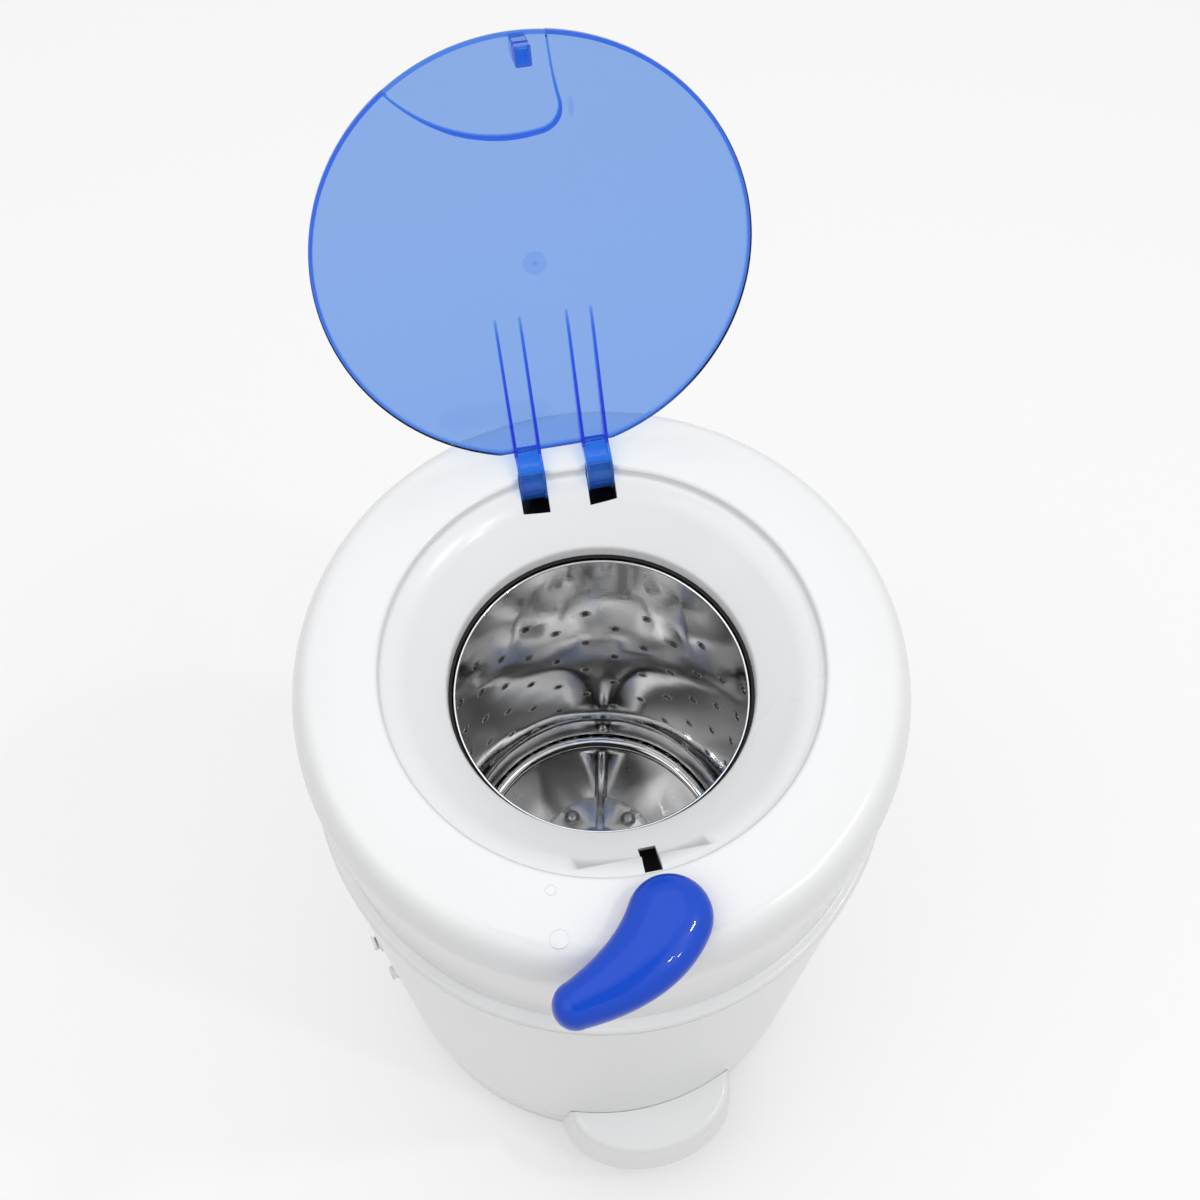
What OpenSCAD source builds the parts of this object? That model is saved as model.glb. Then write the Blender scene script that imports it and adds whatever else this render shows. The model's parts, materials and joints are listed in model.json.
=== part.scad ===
// Laundry spin dryer with a see-through blue lid, a locking lever and a spinning steel drum.
// Millimetres. The origin is on the floor under the drum's axis; +Z is up and the front is -Y.

/* [Body] */
// Outside diameter of the casing
casing_d = 385; // [370:1:400]
// Height of the cover's flat top above the floor
body_h = 640; // [620:1:680]
// Wall of the casing
casing_wall = 2.5; // [2:0.1:3.5]
// Height of the base shell under the casing
base_h = 91; // [80:1:100]
// Height of the top cover above the casing
cover_h = 140; // [125:1:150]

/* [Top cover] */
// Wall of the top cover
cover_wall = 3; // [2.4:0.1:3.6]
// How far the skirt stands in behind the casing's face
skirt_inset = 7; // [6:0.5:9]
// Radial size of the rounded shoulder
shoulder_in = 17; // [12:1:20]
// Height of the rounded shoulder
shoulder_h = 31; // [20:1:36]
// Width of the flat deck round the lid's seat
deck_w = 38; // [36:0.5:40]
// Depth of the sunk seat
seat_drop = 7.5; // [7:0.1:9]
// Width of the funnel from the seat in to the mouth
funnel_w = 37.5; // [35:0.5:40]
// Depth of the mouth's lip under the flat top
mouth_drop = 38; // [36:0.5:42]

/* [Lid] */
// Clearance round the lid in its seat
lid_gap = 2.8; // [2:0.1:4]
// How far the lid stands open
lid_open = 115.5; // [100:0.5:118]
// Thickness of the lid's sheet
lid_wall = 2.2; // [1.8:0.1:2.6]
// Depth of the lid's rim
lid_rim = 5.7; // [5:0.1:6]
// Distance of each arm from the middle of the pair
arm_x = 21.8; // [19:0.1:26]
// Sideways shift of the pair of arms
arm_mid = 2.5; // [0:0.5:4]
// Width of each arm
arm_w = 16.8; // [14:0.2:19]
// Depth of the four ribs where they meet the rim
rib_drop = 9; // [5:0.5:9]
// Length of the ribs
rib_l = 91; // [70:1:100]

/* [Lever and latch] */
// Sideways place of the lever's pivot
lever_x = 5; // [1:0.5:7]
// Distance of the lever's pivot in from the shoulder
lever_in = 9.5; // [8:0.5:11]
// Turn of the lever from open to locked
lever_turn = 112; // [90:1:115]
// Radius of the lever's broad end
lever_r = 24; // [20:0.5:26]
// Height of the lever's dome
lever_dome = 17; // [12:0.5:20]
// Travel of the latch bolt
bolt_travel = 7; // [5:0.5:7.5]
// Lift of the brake rod
rod_lift = 8; // [5:0.5:8]

/* [Drum] */
// Room for water between the drum and the tub
drum_gap = 24.5; // [22:0.5:28]
// Sheet thickness of the drum
drum_wall = 1; // [0.8:0.1:1.2]
// Height of the drum's floor
drum_floor = 235; // [232:1:240]
// Radius of the perforations
hole_r = 3; // [2:0.1:3.5]
// Rows of perforations
hole_rows = 9; // [3:1:10]
// Perforations in a row
holes_per_row = 16; // [8:1:18]
// Radius of the drum's shaft
shaft_r = 7.5; // [6.5:0.1:8]

/* [Tub, motor and brake] */
// Room between the tub and the casing's face
tub_gap = 50.5; // [50:0.5:54]
// Wall of the tub
tub_wall = 2.5; // [2:0.1:3]
// Radius of the motor
motor_r = 62; // [56:1:64]
// Radius of the brake drum
brake_r = 45; // [42:0.5:48]
// Height of the rubber feet
foot_h = 8; // [6:0.5:8]

/* [Spout] */
// Half width of the spout hood at its foot
spout_w = 77.8; // [70:0.2:80]
// How far the spout hood stands out from the casing
spout_out = 42.5; // [33:0.5:46]
// Height of the spout hood's top
spout_top = 127; // [115:1:130]
// Height of the spout hood's open foot
spout_foot = 48; // [40:1:55]

/* [Hidden] */
$fn = 64;

gap = 0.3;              // seat clearance between parts that touch
run = 0.05;             // radial running clearance round a shaft or pin
slip = 0.03;            // radial clearance of a fixed pin in its hole

casing_r = casing_d / 2;
casing_top = body_h - cover_h;
lip_r = casing_r + 1;
lip_round = 3.5;
ledge_z = casing_top + 9;
skirt_r = casing_r - skirt_inset;
shoulder_r = skirt_r + 2.5;
shoulder_z = body_h - shoulder_h;
flat_r = shoulder_r - shoulder_in;
seat_r = flat_r - deck_w;
mouth_r = seat_r - funnel_w;
lid_r = seat_r - lid_gap;
lever_y = flat_r - lever_in;
tub_r = casing_r - tub_gap;
drum_r = tub_r - drum_gap;
spout_reach = casing_r + spout_out;
edge_round = 3;
seat_z = body_h - seat_drop;
funnel_r = seat_r - 4.5;
mouth_z = body_h - mouth_drop;
neck_h = 8;
neck_z = mouth_z - neck_h;
lip_in = 4.5;           // radial size of the mouth's rounded lip
spigot_h = 10;
spigot_wall = 2.5;
pad_y = funnel_r - 7;   // chord of the flat pad in front of the funnel
pad_x = 60;
pad_h = 14;
pad_step = 0.6;

pin_y = seat_r + 7.5;   // hinge axis
pin_z = body_h - cover_wall - 5.5;
pin_r = 2;
neck_in = 10.8;         // inner radius of the goose-neck
neck_out = 13.2;
flange_out = 17.7;
flange_w = 1.8;
neck_start = 176;       // angles of the goose-neck with the lid shut
neck_end = 327;
boss_r = 4.6;
lid_top = body_h - 1.5;
lid_crown = 1;
chord_y = pin_y - 15.5; // straight rear edge of the lid

pocket_wall = 1;
pocket_side = 0.4;      // clearance beside an arm
pocket_half = arm_w / 2 + pocket_side + pocket_wall;
pocket_back = pin_y + flange_out - 1.5;
pocket_floor = pin_z - flange_out - 2.5;
slot_front = pin_y - 25; // slot that an arm comes up through
slot_back = pin_y - 4.7;

hook_x = 3.5;           // hook and latch slot
hook_w = 9;
hook_d = 11;
hook_h = 28;
hook_wall = 1.8;
hook_front = seat_r - 4.5;
hook_back = hook_front - hook_d;
guide_side = 0.65;
guide_wall = 1;
guide_in_w = hook_w + 2 * guide_side;
guide_front = hook_front + 2.5;
guide_back = hook_back - 5;
hook_z = lid_top - lid_wall - hook_h + 2.2;
guide_floor = hook_z - 4;
bolt_w = 8;
bolt_t = 5;
bolt_z = hook_z + 7;
tunnel_end = guide_front + 8;

cam_r = 9.5;            // latch cam
cam_peak = cam_r + bolt_travel;
cam_h = 6;
cam_z = bolt_z - cam_h / 2;
ramp_r = 15.5;          // lift ramp round the lever's shaft
ramp_out = 19.5;
ramp_z = cam_z + cam_h + 1;
ramp_base = 3;
rod_r = 2;
head_r = 4;
head_t = 3;
ramp_lead = asin(head_r / ramp_r);
ramp_rate = rod_lift / lever_turn;
head_z = ramp_z + ramp_base + ramp_rate * ramp_lead + gap;
hub_r = 9;
pivot_r = 6;
pedestal_z = body_h + gap;
handle_z = body_h + 5;

rod_x = lever_x + ramp_r;
arm_z = 192;            // brake linkage
arm_pivot_y = brake_r + 30;
arm_w2 = 5;
rod_end = arm_z - 8;

drum_top = neck_z - 6;  // rolled rim of the drum
rim_r = 2.5;
rim_c = mouth_r + 3.5;
corner_r = 18;           // turn of the wall into the floor
corner_h = 30;
base_disc_r = drum_r - corner_r - 0.5;
base_t = 1.5;
hub_disc_r = 53;
hub_disc_t = 4;
bolt_circle = 41;

tub_floor = drum_floor - 30;
tub_top = neck_z - 34;
tub_flange = 6;
seal_r = 24;
drain_y = tub_r - 20;
drain_r = 10.5;
drain_wall = 2.5;
hose_slope = 30;
hose_z = tub_floor - 65;

base_r = casing_r - casing_wall;
base_wall = 3;
floor_t = 3;
foot_r = 14;
foot_circle = base_r - 40;
post_r = 8;
post_circle = tub_r - 14;
mount_circle = motor_r + 33;
mount_h = 12;
bracket_z = 114;
bracket_t = 4;
motor_low = 42;
motor_high = 150;
rotor_r = motor_r - 23.5;
bearing_r = 17;
bearing_h = 11.5;
spout_x = 9.5;
drain_x = spout_x - 13;
spout_front = 54.4;     // depth of the spout's rounded front
spout_flare = 6;
spout_round = 10;
spout_wall = 3;
nozzle_y = spout_reach - 25;
hose_run = (nozzle_y - drain_y) / cos(hose_slope);
nozzle_z = hose_z - hose_run * sin(hose_slope);

// Points along an elliptical arc
function arc(cx, cy, rx, ry, a0, a1, n) =
    [for (i = [0:n]) let (a = a0 + (a1 - a0) * i / n) [cx + rx * cos(a), cy + ry * sin(a)]];

// Points of a quadratic curve
function bend(p0, p1, p2, t) = (1 - t) * (1 - t) * p0 + 2 * t * (1 - t) * p1 + t * t * p2;

// Outline of the cover's visible face, from the lip to the mouth
function cover_face() = concat(
    [[lip_r, casing_top]],
    arc(lip_r - lip_round, ledge_z - lip_round, lip_round, lip_round, 0, 90, 5),
    arc(skirt_r + 2, ledge_z + 2, 2, 2, 270, 180, 4),
    arc(flat_r, shoulder_z, shoulder_in, shoulder_h, 0, 90, 12),
    arc(seat_r + edge_round, body_h - edge_round, edge_round, edge_round, 90, 180, 5),
    arc(seat_r - 1, seat_z + 1, 1, 1, 0, -90, 3),
    [[funnel_r, seat_z]],
    arc(mouth_r + lip_in, mouth_z - 1, lip_in, lip_in, 130, 180, 4),
    [[mouth_r, neck_z]]);

// The cover's hidden line from the mouth to the deck, moved clear by away
function back_line(away) = [
    [mouth_r + cover_wall + away, mouth_z - 1 - away],
    [funnel_r + 2.1 + away, seat_z - cover_wall + 0.4 - away],
    [seat_r + cover_wall + away, seat_z - cover_wall - away],
    [seat_r + cover_wall + away, body_h - cover_wall - away]];

// The cover's hidden face, from the mouth back to the lip
function cover_back() = concat(
    [[mouth_r + cover_wall, neck_z]],
    back_line(0),
    arc(flat_r, shoulder_z, shoulder_in - cover_wall, shoulder_h - cover_wall, 90, 0, 10),
    [[skirt_r - cover_wall, ledge_z - 3]],
    [[base_r - gap - spigot_wall, casing_top + 2]],
    [[base_r - gap - spigot_wall, casing_top - spigot_h]],
    [[base_r - gap, casing_top - spigot_h]],
    [[base_r - gap, casing_top]]);

module ring(ro, ri, z0, z1) {
    translate([0, 0, z0])
        difference() {
            cylinder(r = ro, h = z1 - z0, $fn = 96);
            translate([0, 0, -1])
                cylinder(r = ri, h = z1 - z0 + 2, $fn = 96);
        }
}

module slab(x0, x1, y0, y1, z0, z1) {
    translate([x0, y0, z0])
        cube([x1 - x0, y1 - y0, z1 - z0]);
}

// Cylinder along X
module bar_x(x0, x1, y, z, r) {
    translate([x0, y, z])
        rotate([0, 90, 0])
            cylinder(r = r, h = x1 - x0);
}

// Everything under the cover's hidden face, clear of it by away
module under_back(away) {
    low = neck_z - 40;
    rotate_extrude($fn = 128)
        polygon(concat([[mouth_r + cover_wall + away, low]], back_line(away),
            [[flat_r, body_h - cover_wall - away], [flat_r, low]]));
}

module at_each(angles, r) {
    for (a = angles)
        rotate([0, 0, a])
            translate([r, 0, 0])
                children();
}

// ---- base ----
mount_angles = [90, 210, 330];
post_angles = [45, 135, 225, 315];

module base_shell() {
    color("whitesmoke")
        difference() {
            union() {
                rotate_extrude($fn = 128)
                    polygon([[0, foot_h], [base_r - 8, foot_h],
                        [base_r - 6, foot_h - 3], [base_r - 3.5, foot_h - 3],
                        [base_r - 1.2, foot_h], [base_r, base_h - 4], [base_r + 1.5, base_h - 3],
                        [base_r + 1.5, base_h], [base_r - gap, base_h], [base_r - gap, base_h + 8],
                        [base_r - base_wall, base_h + 8], [base_r - base_wall, base_h - 6],
                        [base_r - base_wall - 1.5, foot_h + floor_t + 6],
                        [base_r - base_wall - 7, foot_h + floor_t], [0, foot_h + floor_t]]);
                at_each(post_angles, post_circle)
                    translate([0, 0, foot_h + 1])
                        cylinder(r = post_r, h = tub_floor - 3 - gap - foot_h - 1);
                at_each(mount_angles, mount_circle)
                    translate([0, 0, foot_h + 1])
                        cylinder(r = post_r + 3, h = bracket_z - mount_h - foot_h - 1);
            }
            // drain hose way through the front wall
            slab(drain_x - drain_r - 8, drain_x + drain_r + 8, -base_r - 6, -base_r + 14, 62, base_h + 20);
            // foot plugs
            at_each(post_angles, foot_circle)
                translate([0, 0, foot_h - 1])
                    cylinder(r = 4 + slip, h = floor_t + 2);
            // air slots under the motor
            for (k = [0:11])
                rotate([0, 0, 30 * k + 15])
                    slab(30, 58, -2.5, 2.5, foot_h - 1, foot_h + floor_t + 1);
            // inlet for the lead at the rear
            translate([0, base_r + 5, 45])
                rotate([90, 0, 0])
                    cylinder(r = 8 + slip, h = 20);
        }
}

// Plan of the spout hood at a height, drawn in by inset
function spout_plan(inset) = concat(
    [[spout_x - spout_w + inset, -casing_r + 40]],
    arc(spout_x, -spout_reach + spout_front, spout_w - inset, spout_front - inset, 180, 360, 36),
    [[spout_x + spout_w - inset, -casing_r + 40]]);

// Lofted hood: a stack of plans from the foot to the rounded top
module spout_loft(shrink, z0) {
    levels = concat([[z0, shrink]],
        [for (i = [0:6]) let (a = 15 * i)
            [spout_top - shrink - spout_round + spout_round * sin(a),
             shrink + spout_flare + spout_round * (1 - cos(a)) * 0.8]]);
    rings = [for (l = levels) [for (p = spout_plan(l[1])) [p[0], p[1], l[0]]]];
    n = len(rings[0]);
    m = len(rings);
    pts = [for (r = rings) each r];
    sides = [for (j = [0:m - 2]) for (i = [0:n - 1]) let (k = (i + 1) % n)
        each [[j * n + i, j * n + n + i, j * n + k], [j * n + k, j * n + n + i, j * n + n + k]]];
    foot = [[for (i = [0:n - 1]) i]];
    top = [[for (i = [n - 1:-1:0]) (m - 1) * n + i]];
    polyhedron(points = pts, faces = concat(sides, foot, top));
}

module drain_spout() {
    color("whitesmoke")
        difference() {
            spout_loft(0, spout_foot);
            spout_loft(spout_wall, spout_foot - 1);
            translate([0, 0, spout_foot - 5])
                cylinder(r = casing_r + gap, h = spout_top, $fn = 128);
        }
}

// Elbow that takes the hose's end and turns the water down
module drain_nozzle() {
    outer = drain_r + drain_wall + slip + 2;
    sleeve = 12;            // how far the elbow reaches back over the hose
    collar = 12;            // how far it reaches down, to the stop for an outside hose
    color("gainsboro")
        translate([drain_x, -nozzle_y, nozzle_z])
            difference() {
                union() {
                    sphere(r = outer, $fn = 48);
                    rotate([90 + hose_slope - 180, 0, 0])
                        cylinder(r = outer, h = sleeve);
                    translate([0, 0, -collar])
                        cylinder(r = outer, h = collar);
                    translate([0, 0, spout_foot - 6 - nozzle_z])
                        cylinder(r = drain_r + 2, h = nozzle_z - spout_foot + 6);
                }
                sphere(r = drain_r, $fn = 48);
                rotate([90 + hose_slope - 180, 0, 0])
                    cylinder(r = drain_r + drain_wall + slip, h = 25);
                translate([0, 0, spout_foot - 10 - nozzle_z])
                    cylinder(r = drain_r, h = nozzle_z - spout_foot + 10);
            }
}

module drain_hose() {
    outer = drain_r + drain_wall;
    color("dimgray")
        difference() {
            union() {
                translate([drain_x, -drain_y, hose_z])
                    cylinder(r = outer, h = tub_floor - 3 - gap - hose_z);
                translate([drain_x, -drain_y, hose_z])
                    sphere(r = outer, $fn = 48);
                translate([drain_x, -drain_y, hose_z])
                    rotate([90 + hose_slope, 0, 0])
                        cylinder(r = outer, h = hose_run - 3);
            }
            translate([drain_x, -drain_y, hose_z])
                cylinder(r = drain_r, h = tub_floor - hose_z);
            translate([drain_x, -drain_y, hose_z])
                sphere(r = drain_r, $fn = 48);
            translate([drain_x, -drain_y, hose_z])
                rotate([90 + hose_slope, 0, 0])
                    cylinder(r = drain_r, h = hose_run);
        }
}

module rubber_feet() {
    color("dimgray")
        at_each(post_angles, foot_circle)
            rotate_extrude()
                polygon([[0, 0], [foot_r - 2, 0], [foot_r - 0.5, 1.5], [foot_r, foot_h - gap],
                    [4, foot_h - gap], [4, foot_h + floor_t + 0.5], [5, foot_h + floor_t + 1],
                    [3, foot_h + floor_t + 4], [0, foot_h + floor_t + 4]]);
}

module outer_casing() {
    color("white")
        difference() {
            ring(casing_r, base_r, base_h, casing_top);
            slab(drain_x - drain_r - 8, drain_x + drain_r + 8, -casing_r - 6, -casing_r + 14,
                base_h - 5, spout_top - 6);
            for (a = [50, 90, 130])
                rotate([0, 0, a])
                    translate([casing_r - 8, 0, casing_top - spigot_h / 2])
                        rotate([0, 90, 0])
                            cylinder(r = 1.9, h = 12);
        }
}

hook_angle = 195;
hook_levels = [[190, -1], [290, 1]];   // height of each cord hook and which way it points
cord_hook_w = 10;
cord_hook_out = 6;
cord_hook_t = 2.2;
cord_hook_back = casing_r + gap / 2;

module cord_hooks() {
    color("whitesmoke")
        for (h = hook_levels)
            translate([0, 0, h[0]])
                rotate([0, 0, hook_angle])
                    mirror([0, 0, h[1] < 0 ? 1 : 0])
                        union() {
                            slab(cord_hook_back, cord_hook_back + 2,
                                -cord_hook_w / 2 - 1, cord_hook_w / 2 + 1, -7, 7);
                            slab(cord_hook_back, casing_r + cord_hook_out,
                                -cord_hook_w / 2, cord_hook_w / 2, 0, cord_hook_t);
                            slab(casing_r + cord_hook_out - cord_hook_t, casing_r + cord_hook_out,
                                -cord_hook_w / 2, cord_hook_w / 2, 0, 7);
                        }
}

module cord_gland() {
    color("dimgray")
        translate([0, 0, 45])
            rotate([-90, 0, 0])
                difference() {
                    union() {
                        translate([0, 0, base_r - 7])
                            cylinder(r = 8, h = 12);
                        translate([0, 0, base_r + 1])
                            cylinder(r = 12, h = 3);
                        translate([0, 0, base_r - 7])
                            cylinder(r = 10, h = 2.5);
                    }
                    translate([0, 0, base_r - 10])
                        cylinder(r = 4, h = 30);
                }
}

// ---- top cover ----
function arm_at(s) = arm_mid + s * arm_x;

// Box round each arm, wider than the arm by side
module arm_box(side, y0, y1, z0, z1) {
    for (s = [-1, 1])
        slab(arm_at(s) - arm_w / 2 - side, arm_at(s) + arm_w / 2 + side, y0, y1, z0, z1);
}

// Box round the latch hook's way, grown past it by grow
module hook_box(grow, z0, z1) {
    slab(hook_x - guide_in_w / 2 - grow, hook_x + guide_in_w / 2 + grow,
        -guide_front - grow, -guide_back + grow, z0, z1);
}

module top_cover() {
    color("white")
        difference() {
            union() {
                rotate_extrude($fn = 128)
                    polygon(concat(cover_face(), cover_back()));
                // flat pad in front of the funnel, with room under it for the latch guide
                difference() {
                    intersection() {
                        translate([0, 0, seat_z - pad_h])
                            cylinder(r = funnel_r + 1, h = pad_h - pad_step, $fn = 128);
                        slab(-pad_x, pad_x, -seat_r, -pad_y, seat_z - pad_h, seat_z);
                    }
                    intersection() {
                        hook_box(guide_wall + gap / 2, seat_z - 40, seat_z);
                        under_back(gap / 2);
                    }
                }
                translate([lever_x, -lever_y, body_h - cover_wall - 3])
                    cylinder(r = pivot_r + 4, h = 4);
            }
            arm_box(pocket_side, slot_front, slot_back, seat_z - 40, body_h + 5);
            hook_box(0, seat_z - 40, seat_z + 1.5);
            translate([lever_x, -lever_y, body_h - 10])
                cylinder(r = pivot_r + 0.1, h = 20);
            for (a = [50, 90, 130])
                rotate([0, 0, a])
                    translate([casing_r - 10, 0, casing_top - spigot_h / 2])
                        rotate([0, 90, 0])
                            cylinder(r = 1.5 + slip, h = 12);
        }
}

module mouth_seal() {
    color("dimgray")
        rotate_extrude($fn = 96)
            polygon([[mouth_r + cover_wall + gap, neck_z - 0.5], [mouth_r + cover_wall + 4, neck_z - 0.5],
                [mouth_r + cover_wall + 4, neck_z + 0.8], [mouth_r + cover_wall + 2, neck_z + 1.2],
                [mouth_r + cover_wall + 2, neck_z + 4], [mouth_r + cover_wall + gap, neck_z + 6]]);
}

module tub_lid() {
    r_in = mouth_r + cover_wall + 2.3;
    color("gainsboro")
        rotate_extrude($fn = 96)
            polygon([[r_in, neck_z + 1.6], [r_in, neck_z + 4], [r_in + 6, neck_z + 4], [tub_r - 14, neck_z - 6],
                [tub_r, tub_top + 12], [tub_r, tub_top + 3], [tub_r + tub_flange, tub_top + 3],
                [tub_r + tub_flange, tub_top + gap], [tub_r - tub_wall, tub_top + gap],
                [tub_r - tub_wall, tub_top + 11], [tub_r - 15.5, neck_z - 8.4], [r_in + 5, neck_z + 1.6]]);
}

module outer_tub() {
    color("gainsboro")
        difference() {
            union() {
                rotate_extrude($fn = 96)
                    polygon([[seal_r, tub_floor - 3], [tub_r, tub_floor - 3], [tub_r, tub_top - 3],
                        [tub_r + tub_flange, tub_top - 3], [tub_r + tub_flange, tub_top],
                        [tub_r - tub_wall, tub_top], [tub_r - tub_wall, tub_floor],
                        [seal_r + 14, tub_floor + 3], [seal_r + 3, tub_floor + 10], [seal_r, tub_floor + 10]]);
            }
            translate([drain_x, -drain_y, tub_floor - 10])
                cylinder(r = drain_r, h = 20);
        }
}

module shaft_seal() {
    color("dimgray")
        rotate_extrude()
            polygon([[shaft_r + run, tub_floor - 1], [seal_r - slip, tub_floor - 1],
                [seal_r - slip, tub_floor + 10], [seal_r + 2, tub_floor + 10 + gap],
                [seal_r + 2, tub_floor + 12], [shaft_r + 3, tub_floor + 12], [shaft_r + run, tub_floor + 9]]);
}

// ---- motor ----
module motor_housing() {
    color("silver")
        difference() {
            rotate_extrude($fn = 96)
                polygon([[bearing_r, motor_low], [motor_r - 10, motor_low], [motor_r - 4, motor_low + 8],
                    [motor_r, motor_low + 12],
                    [motor_r, bracket_z + bracket_t + gap], [motor_r + 12, bracket_z + bracket_t + gap],
                    [motor_r + 12, bracket_z + bracket_t + 3], [motor_r, bracket_z + bracket_t + 3],
                    [motor_r, motor_high - 14], [motor_r - 8, motor_high - 6], [22, motor_high],
                    [bearing_r, motor_high], [bearing_r, motor_high - 12], [motor_r - 12, motor_high - 12],
                    [motor_r - 4, motor_high - 18], [motor_r - 4, motor_low + 16],
                    [motor_r - 12, motor_low + 12], [bearing_r, motor_low + 12]]);
            for (k = [0:7])
                rotate([0, 0, 45 * k])
                    slab(30, 46, -3, 3, motor_high - 14, motor_high + 1);
            at_each([30, 150, 270], motor_r + 6)
                translate([0, 0, bracket_z])
                    cylinder(r = 2.2, h = 12);
        }
}

module stator() {
    color("peru")
        ring(motor_r - 4 - slip, rotor_r + 1, motor_low + 24, motor_high - 26);
}

module motor_bearings() {
    color("lightsteelblue")
        for (z = [motor_low, motor_high - 12])
            ring(bearing_r - slip, shaft_r + run, z + 0.5, z + bearing_h);
}

module motor_bracket() {
    color("slategray")
        difference() {
            union() {
                translate([0, 0, bracket_z])
                    cylinder(r = motor_r + 13, h = bracket_t, $fn = 96);
                for (a = mount_angles)
                    hull() {
                        rotate([0, 0, a])
                            translate([mount_circle, 0, bracket_z])
                                cylinder(r = 13, h = bracket_t, $fn = 32);
                        rotate([0, 0, a])
                            translate([mount_circle - 50, 0, bracket_z])
                                cylinder(r = 20, h = bracket_t, $fn = 32);
                    }
            }
            translate([0, 0, bracket_z - 1])
                cylinder(r = motor_r + gap, h = bracket_t + 2, $fn = 96);
            at_each(mount_angles, mount_circle)
                translate([0, 0, bracket_z - 1])
                    cylinder(r = 5 + slip, h = bracket_t + 2);
        }
}

module rubber_mounts() {
    color("dimgray")
        at_each(mount_angles, mount_circle)
            rotate_extrude()
                polygon([[3 + slip, bracket_z - mount_h + gap], [10, bracket_z - mount_h + gap],
                    [8, bracket_z - mount_h / 2], [10, bracket_z - gap / 2], [5, bracket_z - gap / 2],
                    [5, bracket_z + bracket_t + gap / 2], [9, bracket_z + bracket_t + gap / 2],
                    [9, bracket_z + bracket_t + 4], [3 + slip, bracket_z + bracket_t + 4]]);
}

module mount_nuts() {
    color("silver")
        at_each(mount_angles, mount_circle) {
            translate([0, 0, bracket_z - mount_h + gap])
                cylinder(r = 3, h = mount_h + bracket_t + 10);
            translate([0, 0, bracket_z + bracket_t + 4 + gap / 2])
                cylinder(r = 6, h = 5, $fn = 6);
        }
}

cap_x = 62 - base_r;
cap_y = 30;

module run_capacitor() {
    color("gainsboro")
        translate([cap_x, cap_y, 0]) {
            translate([0, 0, foot_h + floor_t + gap])
                cylinder(r = 18, h = 68);
            for (s = [-1, 1])
                translate([s * 6 - 0.4, -3, foot_h + floor_t + 68])
                    cube([0.8, 6, 9]);
        }
}

module capacitor_clip() {
    color("slategray")
        difference() {
            union() {
                translate([cap_x, cap_y, 0])
                    ring(19.5, 18 + gap / 2, foot_h + floor_t + gap / 2, foot_h + floor_t + 22);
                translate([cap_x - 34, cap_y - 8, foot_h + floor_t + gap / 2])
                    cube([16, 16, 1.5]);
            }
            translate([cap_x, cap_y, foot_h])
                cylinder(r = 18 + gap / 2, h = 40);
        }
}

// ---- latch and brake linkage that stay on the body ----
switch_tip = cam_peak + 0.4;

module door_switch() {
    color("darkslategray")
        translate([lever_x, -lever_y, 0])
            union() {
                slab(-switch_tip - 2.4, -switch_tip, -2, 2, cam_z + 1, cam_z + cam_h - 1);
                slab(-switch_tip - 14, -switch_tip - 2, -9, 9, cam_z - 1, cam_z + cam_h + 1);
                slab(-switch_tip - 12, -switch_tip - 4, -7, -4, cam_z + cam_h, body_h - cover_wall - gap);
                slab(-switch_tip - 12, -switch_tip - 4, 4, 7, cam_z + cam_h, body_h - cover_wall - gap);
            }
}

module hinge_pockets() {
    color("black")
        difference() {
            intersection() {
                arm_box(pocket_side + pocket_wall, slot_front - pocket_wall, pocket_back + pocket_wall,
                    pocket_floor, body_h);
                under_back(gap);
            }
            arm_box(pocket_side, slot_front, pocket_back, pocket_floor + 1.5, body_h + 5);
            bar_x(-seat_r, seat_r, pin_y, pin_z, pin_r + slip);
        }
}

module hinge_pins() {
    color("silver")
        for (s = [-1, 1])
            bar_x(arm_at(s) - pocket_half - 0.5, arm_at(s) + pocket_half + 0.5, pin_y, pin_z, pin_r);
}

module latch_guide() {
    tunnel = gap / 2;
    color("black")
        difference() {
            union() {
                intersection() {
                    hook_box(guide_wall, guide_floor, seat_z);
                    under_back(gap);
                }
                slab(hook_x - bolt_w / 2 - 2, hook_x + bolt_w / 2 + 2, -tunnel_end, -guide_front,
                    bolt_z - bolt_t / 2 - 2, bolt_z + bolt_t / 2 + 1.6);
            }
            hook_box(0, guide_floor + 1.5, seat_z + 5);
            slab(hook_x - bolt_w / 2 - tunnel, hook_x + bolt_w / 2 + tunnel, -tunnel_end - 1, -guide_front + 1,
                bolt_z - bolt_t / 2 - tunnel, bolt_z + bolt_t / 2 + tunnel);
        }
}

guide_over_arm = 40;
guide_under_top = 60;
guide_heights = [tub_top - guide_under_top, arm_z + guide_over_arm];

module rod_guides() {
    color("slategray")
        for (z = guide_heights)
            difference() {
                union() {
                    slab(rod_x - 7, rod_x + 7, -lever_y - 6, -tub_r + 6, z, z + 5);
                    slab(rod_x - 12, rod_x + 12, -tub_r - 1, -tub_r + 6, z - 6, z + 11);
                }
                translate([0, 0, z - 10])
                    cylinder(r = tub_r + gap, h = 30, $fn = 96);
                translate([rod_x, -lever_y, z - 1])
                    cylinder(r = rod_r + run, h = 7);
            }
}

ear_x = arm_w2 / 2 + 0.4;

module brake_bracket() {
    color("slategray")
        difference() {
            union() {
                slab(rod_x - 12, rod_x + 12, -arm_pivot_y - 9, -arm_pivot_y + 9,
                    tub_floor - 5 - gap, tub_floor - 3 - gap);
                for (s = [-1, 1])
                    slab(rod_x + s * (ear_x + 1) - 1, rod_x + s * (ear_x + 1) + 1,
                        -arm_pivot_y - 7, -arm_pivot_y + 7, arm_z - 6, tub_floor - 4 - gap);
            }
            bar_x(rod_x - 20, rod_x + 20, -arm_pivot_y, arm_z, pin_r + slip);
        }
}

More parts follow.
